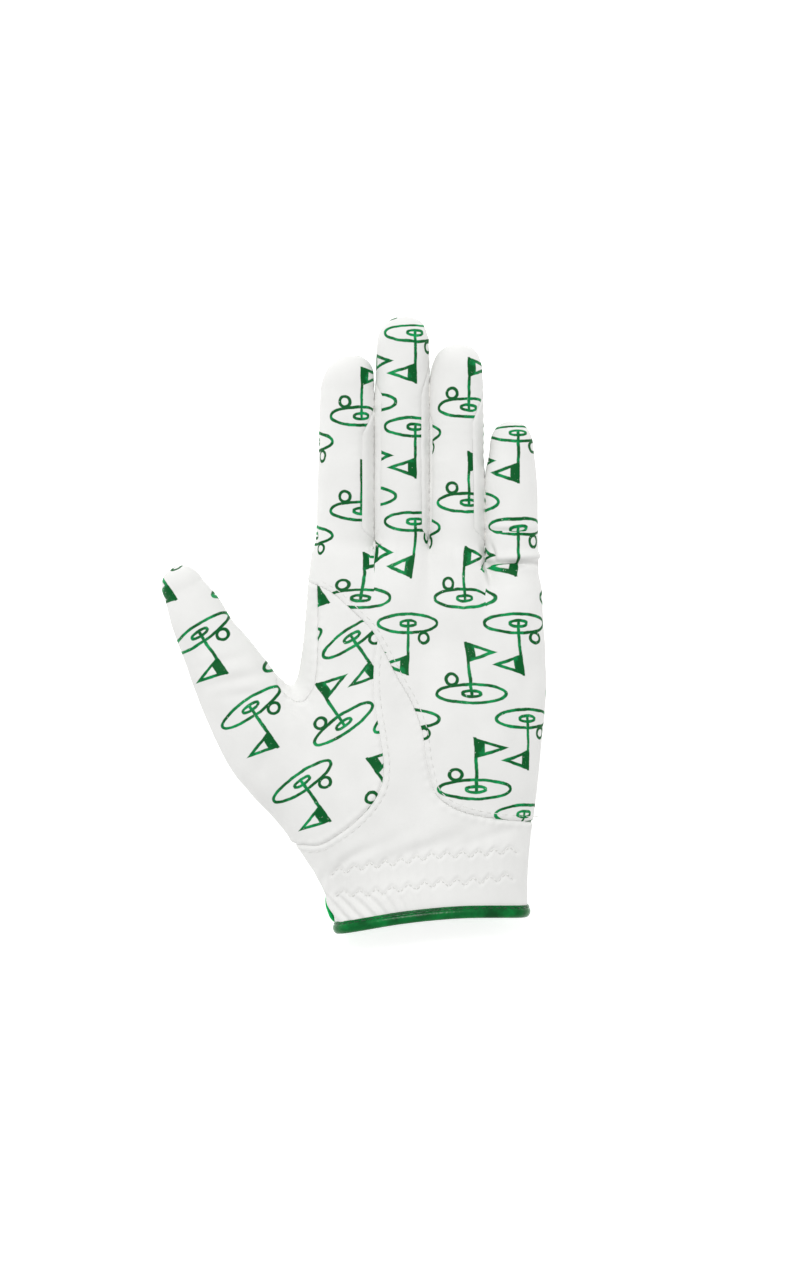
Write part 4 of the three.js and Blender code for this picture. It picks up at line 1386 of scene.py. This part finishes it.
def make_strap():
    """The closure tab, laid along the back of the wrist."""
    shape = strip(back_wrap, STRAP_LINE, STRAP_HALF, *STRAP_LAYER, STRAP_TIP)
    strap = add_piece("closure_strap", *shape, None, "green_tab", [tab_leather], "closure_tab")
    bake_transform(strap)


def make_tapes():
    for name, node, body, slot, material, shape in TAPES:
        add_piece(name, *shape, body, slot, [material], node)


def stitch_strap_edge():
    edge_row = strip_outline(STRAP_LINE, STRAP_HALF, STRAP_TIP, 1.7)
    on_tab = edge_row[edge_row[:, 0] > 2.6]
    add_stitches("strap_edge_stitches", cuff_row(back_wrap, on_tab, 2.6, STRAP_LAYER[1]), "tab", "green_tab",
                 green_polyester, radius=0.2, sink=0.12)


def stitch_strap_root():
    """A box with a cross in it."""
    left, right, low, high = -8.6, -2.4, -98.4, -83.6
    paths = [
        [[left, high], [left, low], [right, low], [right, high], [left, high]],
        [[left, high], [right, low]],
        [[right, high], [left, low]],
    ]
    rows = [cuff_row(back_wrap, np.array(path), 2.4, STRAP_LAYER[1]) for path in paths]
    add_stitches("strap_root_stitches", [np.vstack(part) for part in zip(*rows)], "glove", "green_tab",
                 green_polyester, radius=0.2, sink=0.12)


def stitch_slit():
    add_stitches("slit_stitches", cuff_row(back_wrap, FACING_LINE, 2.4, FACING_LAYER[1]), "glove",
                 "green_binding", green_polyester, radius=0.18, sink=0.1)


TUFTS = 900  # drawn on a pad, before those past its outline are left out


def make_tufts(name, line, half, tip, off, way, height, body):
    """The nylon loops or hooks that stand on a piece of tape."""
    rng = np.random.default_rng(len(name))
    whole = lengths(line)[-1]
    along = rng.uniform(0.5, whole - 0.5, TUFTS)
    across = rng.uniform(-1, 1, TUFTS) * half
    into = np.clip(along - whole + tip, 0, None) / tip
    kept = abs(across) < (half - 0.5) * np.sqrt(np.clip(1 - into**2, 0, 1))
    along, across = along[kept], across[kept]
    turn = rng.uniform(0, 2 * math.pi, len(along))
    far = strip_place(line, along + 0.5 * np.cos(turn), across + 0.5 * np.sin(turn))
    a, out = back_wrap.place(*strip_place(line, along, across).T, off)
    b = back_wrap.place(*far.T, off)[0]
    points, faces = stitch_mesh(a, b, out * way, 0.09, height, 0.06)
    add_piece(name, points, faces, body, "green_pile", [pile])


# Section of the folded binding round the cuff's edge: distances out of the leather and up from the hem.
BINDING_SECTION = [
    (0.05, 3.75), (0.36, 3.84), (0.66, 3.62), (0.76, 3.3), (0.58, 2.95), (0.86, 2.6), (1.14, 2.1),
    (1.24, 1.5), (1.18, 0.9), (0.9, 0.2), (0.45, -0.4), (-0.05, -0.66), (-0.55, -0.66), (-1.05, -0.4),
    (-1.36, 0.2), (-1.46, 1.0), (-1.44, 2.2), (-1.34, 3.2), (-1.05, 3.7), (-0.68, 3.6), (-0.66, 1.6),
    (-0.6, 0.75), (-0.3, 0.55), (0.0, 0.75), (0.04, 1.6),
]
BINDING_RING_AT = 2.0  # height above the hem at which its way round the cuff is measured
BINDING_STITCHES = (0.64, 2.95)  # out of the leather and up from the hem, in the section's groove
SLIT_HALF_AT_HEM = 2.3
HEM_GUESS = -105.0  # y from which the hem is looked for


def hem_ring():
    """Evenly spaced points round the cuff's edge, from one side of the slit to the other, and the way out."""
    across, down = WRIST_AXIS[0] - SLIT_TOP[0], 12.4  # from the wrist's middle to the slit
    first = math.atan2(across + SLIT_HALF_AT_HEM, down)
    last = 2 * math.pi + math.atan2(across - SLIT_HALF_AT_HEM, down)
    ring = []
    for turn in np.linspace(first, last, 420):
        y = HEM_GUESS
        for _ in range(3):
            hit = cuff_hit(turn, y)
            y = float(np.interp(hit[0], hem_line[:, 0], hem_line[:, 1])) + BINDING_RING_AT
        ring.append(hit)
    ring = np.array(ring)
    ring = evened(at_length(ring, np.linspace(0, lengths(ring)[-1], 240)), 10)
    out = np.cross(np.gradient(ring, axis=0), [0, 1, 0])
    out /= np.linalg.norm(out, axis=1, keepdims=True)
    away = ring[:, [0, 2]] - WRIST_AXIS
    out *= np.sign((out[:, [0, 2]] * away).sum(1).mean())
    return ring, out


def make_binding():
    """The folded binding from one side of the slit to the other, and its row of stitches."""
    ring, out = hem_ring()
    up = np.array([0, 1, 0])
    rings = np.stack([ring + out * n + up * (d - BINDING_RING_AT) for n, d in BINDING_SECTION], 1)
    add_piece("cuff_binding_leather", *loft(rings), "glove", "green_binding", [binding_leather],
              "cuff_binding")
    path = ring + out * BINDING_STITCHES[0] + up * (BINDING_STITCHES[1] - BINDING_RING_AT)
    starts, ends = row_ends(path, 2.7)
    nearest = np.linspace(0, len(path) - 1, len(starts)).astype(int)
    add_stitches("binding_stitches", (starts, ends, out[nearest]), "glove", "green_binding",
                 green_polyester, radius=0.17, sink=0.08)


make_strap()
make_tapes()
stitch_strap_edge()
stitch_strap_root()
stitch_slit()
make_tufts("loop_pile", LOOP_LINE, LOOP_HALF[0], PAD_TIP, LOOP_LAYER[1], 1, 0.3, "glove")
make_tufts("hook_pile", HOOK_LINE, HOOK_HALF[0], PAD_TIP - 1, HOOK_LAYER[0], -1, 0.25, "tab")
make_binding()


# ---- Stage ----
FLOOR_GLOW = 0.52
STUDIO_LIGHT = 0.58
SOFTBOX_SIZE = 1.3  # in metres, as its place is
SOFTBOX_POWER = 51
SOFTBOX_PLACE = (-0.45, 1.3, 2.85)


def make_stage():
    """Opal acrylic sheet, rolled smooth and lit from below: a bright white with hardly a shadow on it."""
    bpy.ops.mesh.primitive_plane_add(size=6)
    floor = bpy.context.object
    floor.name = "floor"
    material, tree, shader = new_material("lit_acrylic_floor", Roughness=0.6)
    cloud = add(tree, "TexNoise", {"Scale": 3.0, "Detail": 1.0})[0]
    tree.links.new(two_tones(tree, cloud, "#fbfbfb", "#ffffff"), shader.inputs["Base Color"])
    shader.inputs["Emission Color"].default_value = (1, 1, 1, 1)
    shader.inputs["Emission Strength"].default_value = FLOOR_GLOW
    floor.data.materials.append(material)
    floor.location.z = -0.0003


def make_lights():
    """Even white light from all sides, and one large soft lamp above the fingers."""
    world = bpy.data.worlds.new("studio")
    bpy.context.scene.world = world
    world.use_nodes = True
    world.node_tree.nodes["Background"].inputs[0].default_value = (1, 1, 1, 1)
    world.node_tree.nodes["Background"].inputs[1].default_value = STUDIO_LIGHT
    lamp = bpy.data.lights.new("overhead_softbox", "AREA")
    lamp.shape = "DISK"
    lamp.size = SOFTBOX_SIZE
    lamp.energy = SOFTBOX_POWER
    softbox = bpy.data.objects.new("overhead_softbox", lamp)
    softbox.location = SOFTBOX_PLACE
    aim = Vector((0.01, 0, 0)) - softbox.location
    softbox.rotation_euler = aim.to_track_quat("-Z", "Y").to_euler()
    bpy.context.scene.collection.objects.link(softbox)


def make_camera():
    """Looks straight down on the middle of the glove."""
    data = bpy.data.cameras.new("camera")
    data.lens = LENS
    data.sensor_width = SENSOR
    data.clip_end = 20
    camera = bpy.data.objects.new("camera", data)
    distance = PICTURE_HEIGHT * LENS / SENSOR
    camera.location = (GLOVE_MIDDLE + Vector((0, 0, distance))) * MM
    bpy.context.scene.collection.objects.link(camera)
    bpy.context.scene.camera = camera


make_stage()
make_lights()
make_camera()
bpy.context.scene.view_settings.view_transform = "Standard"
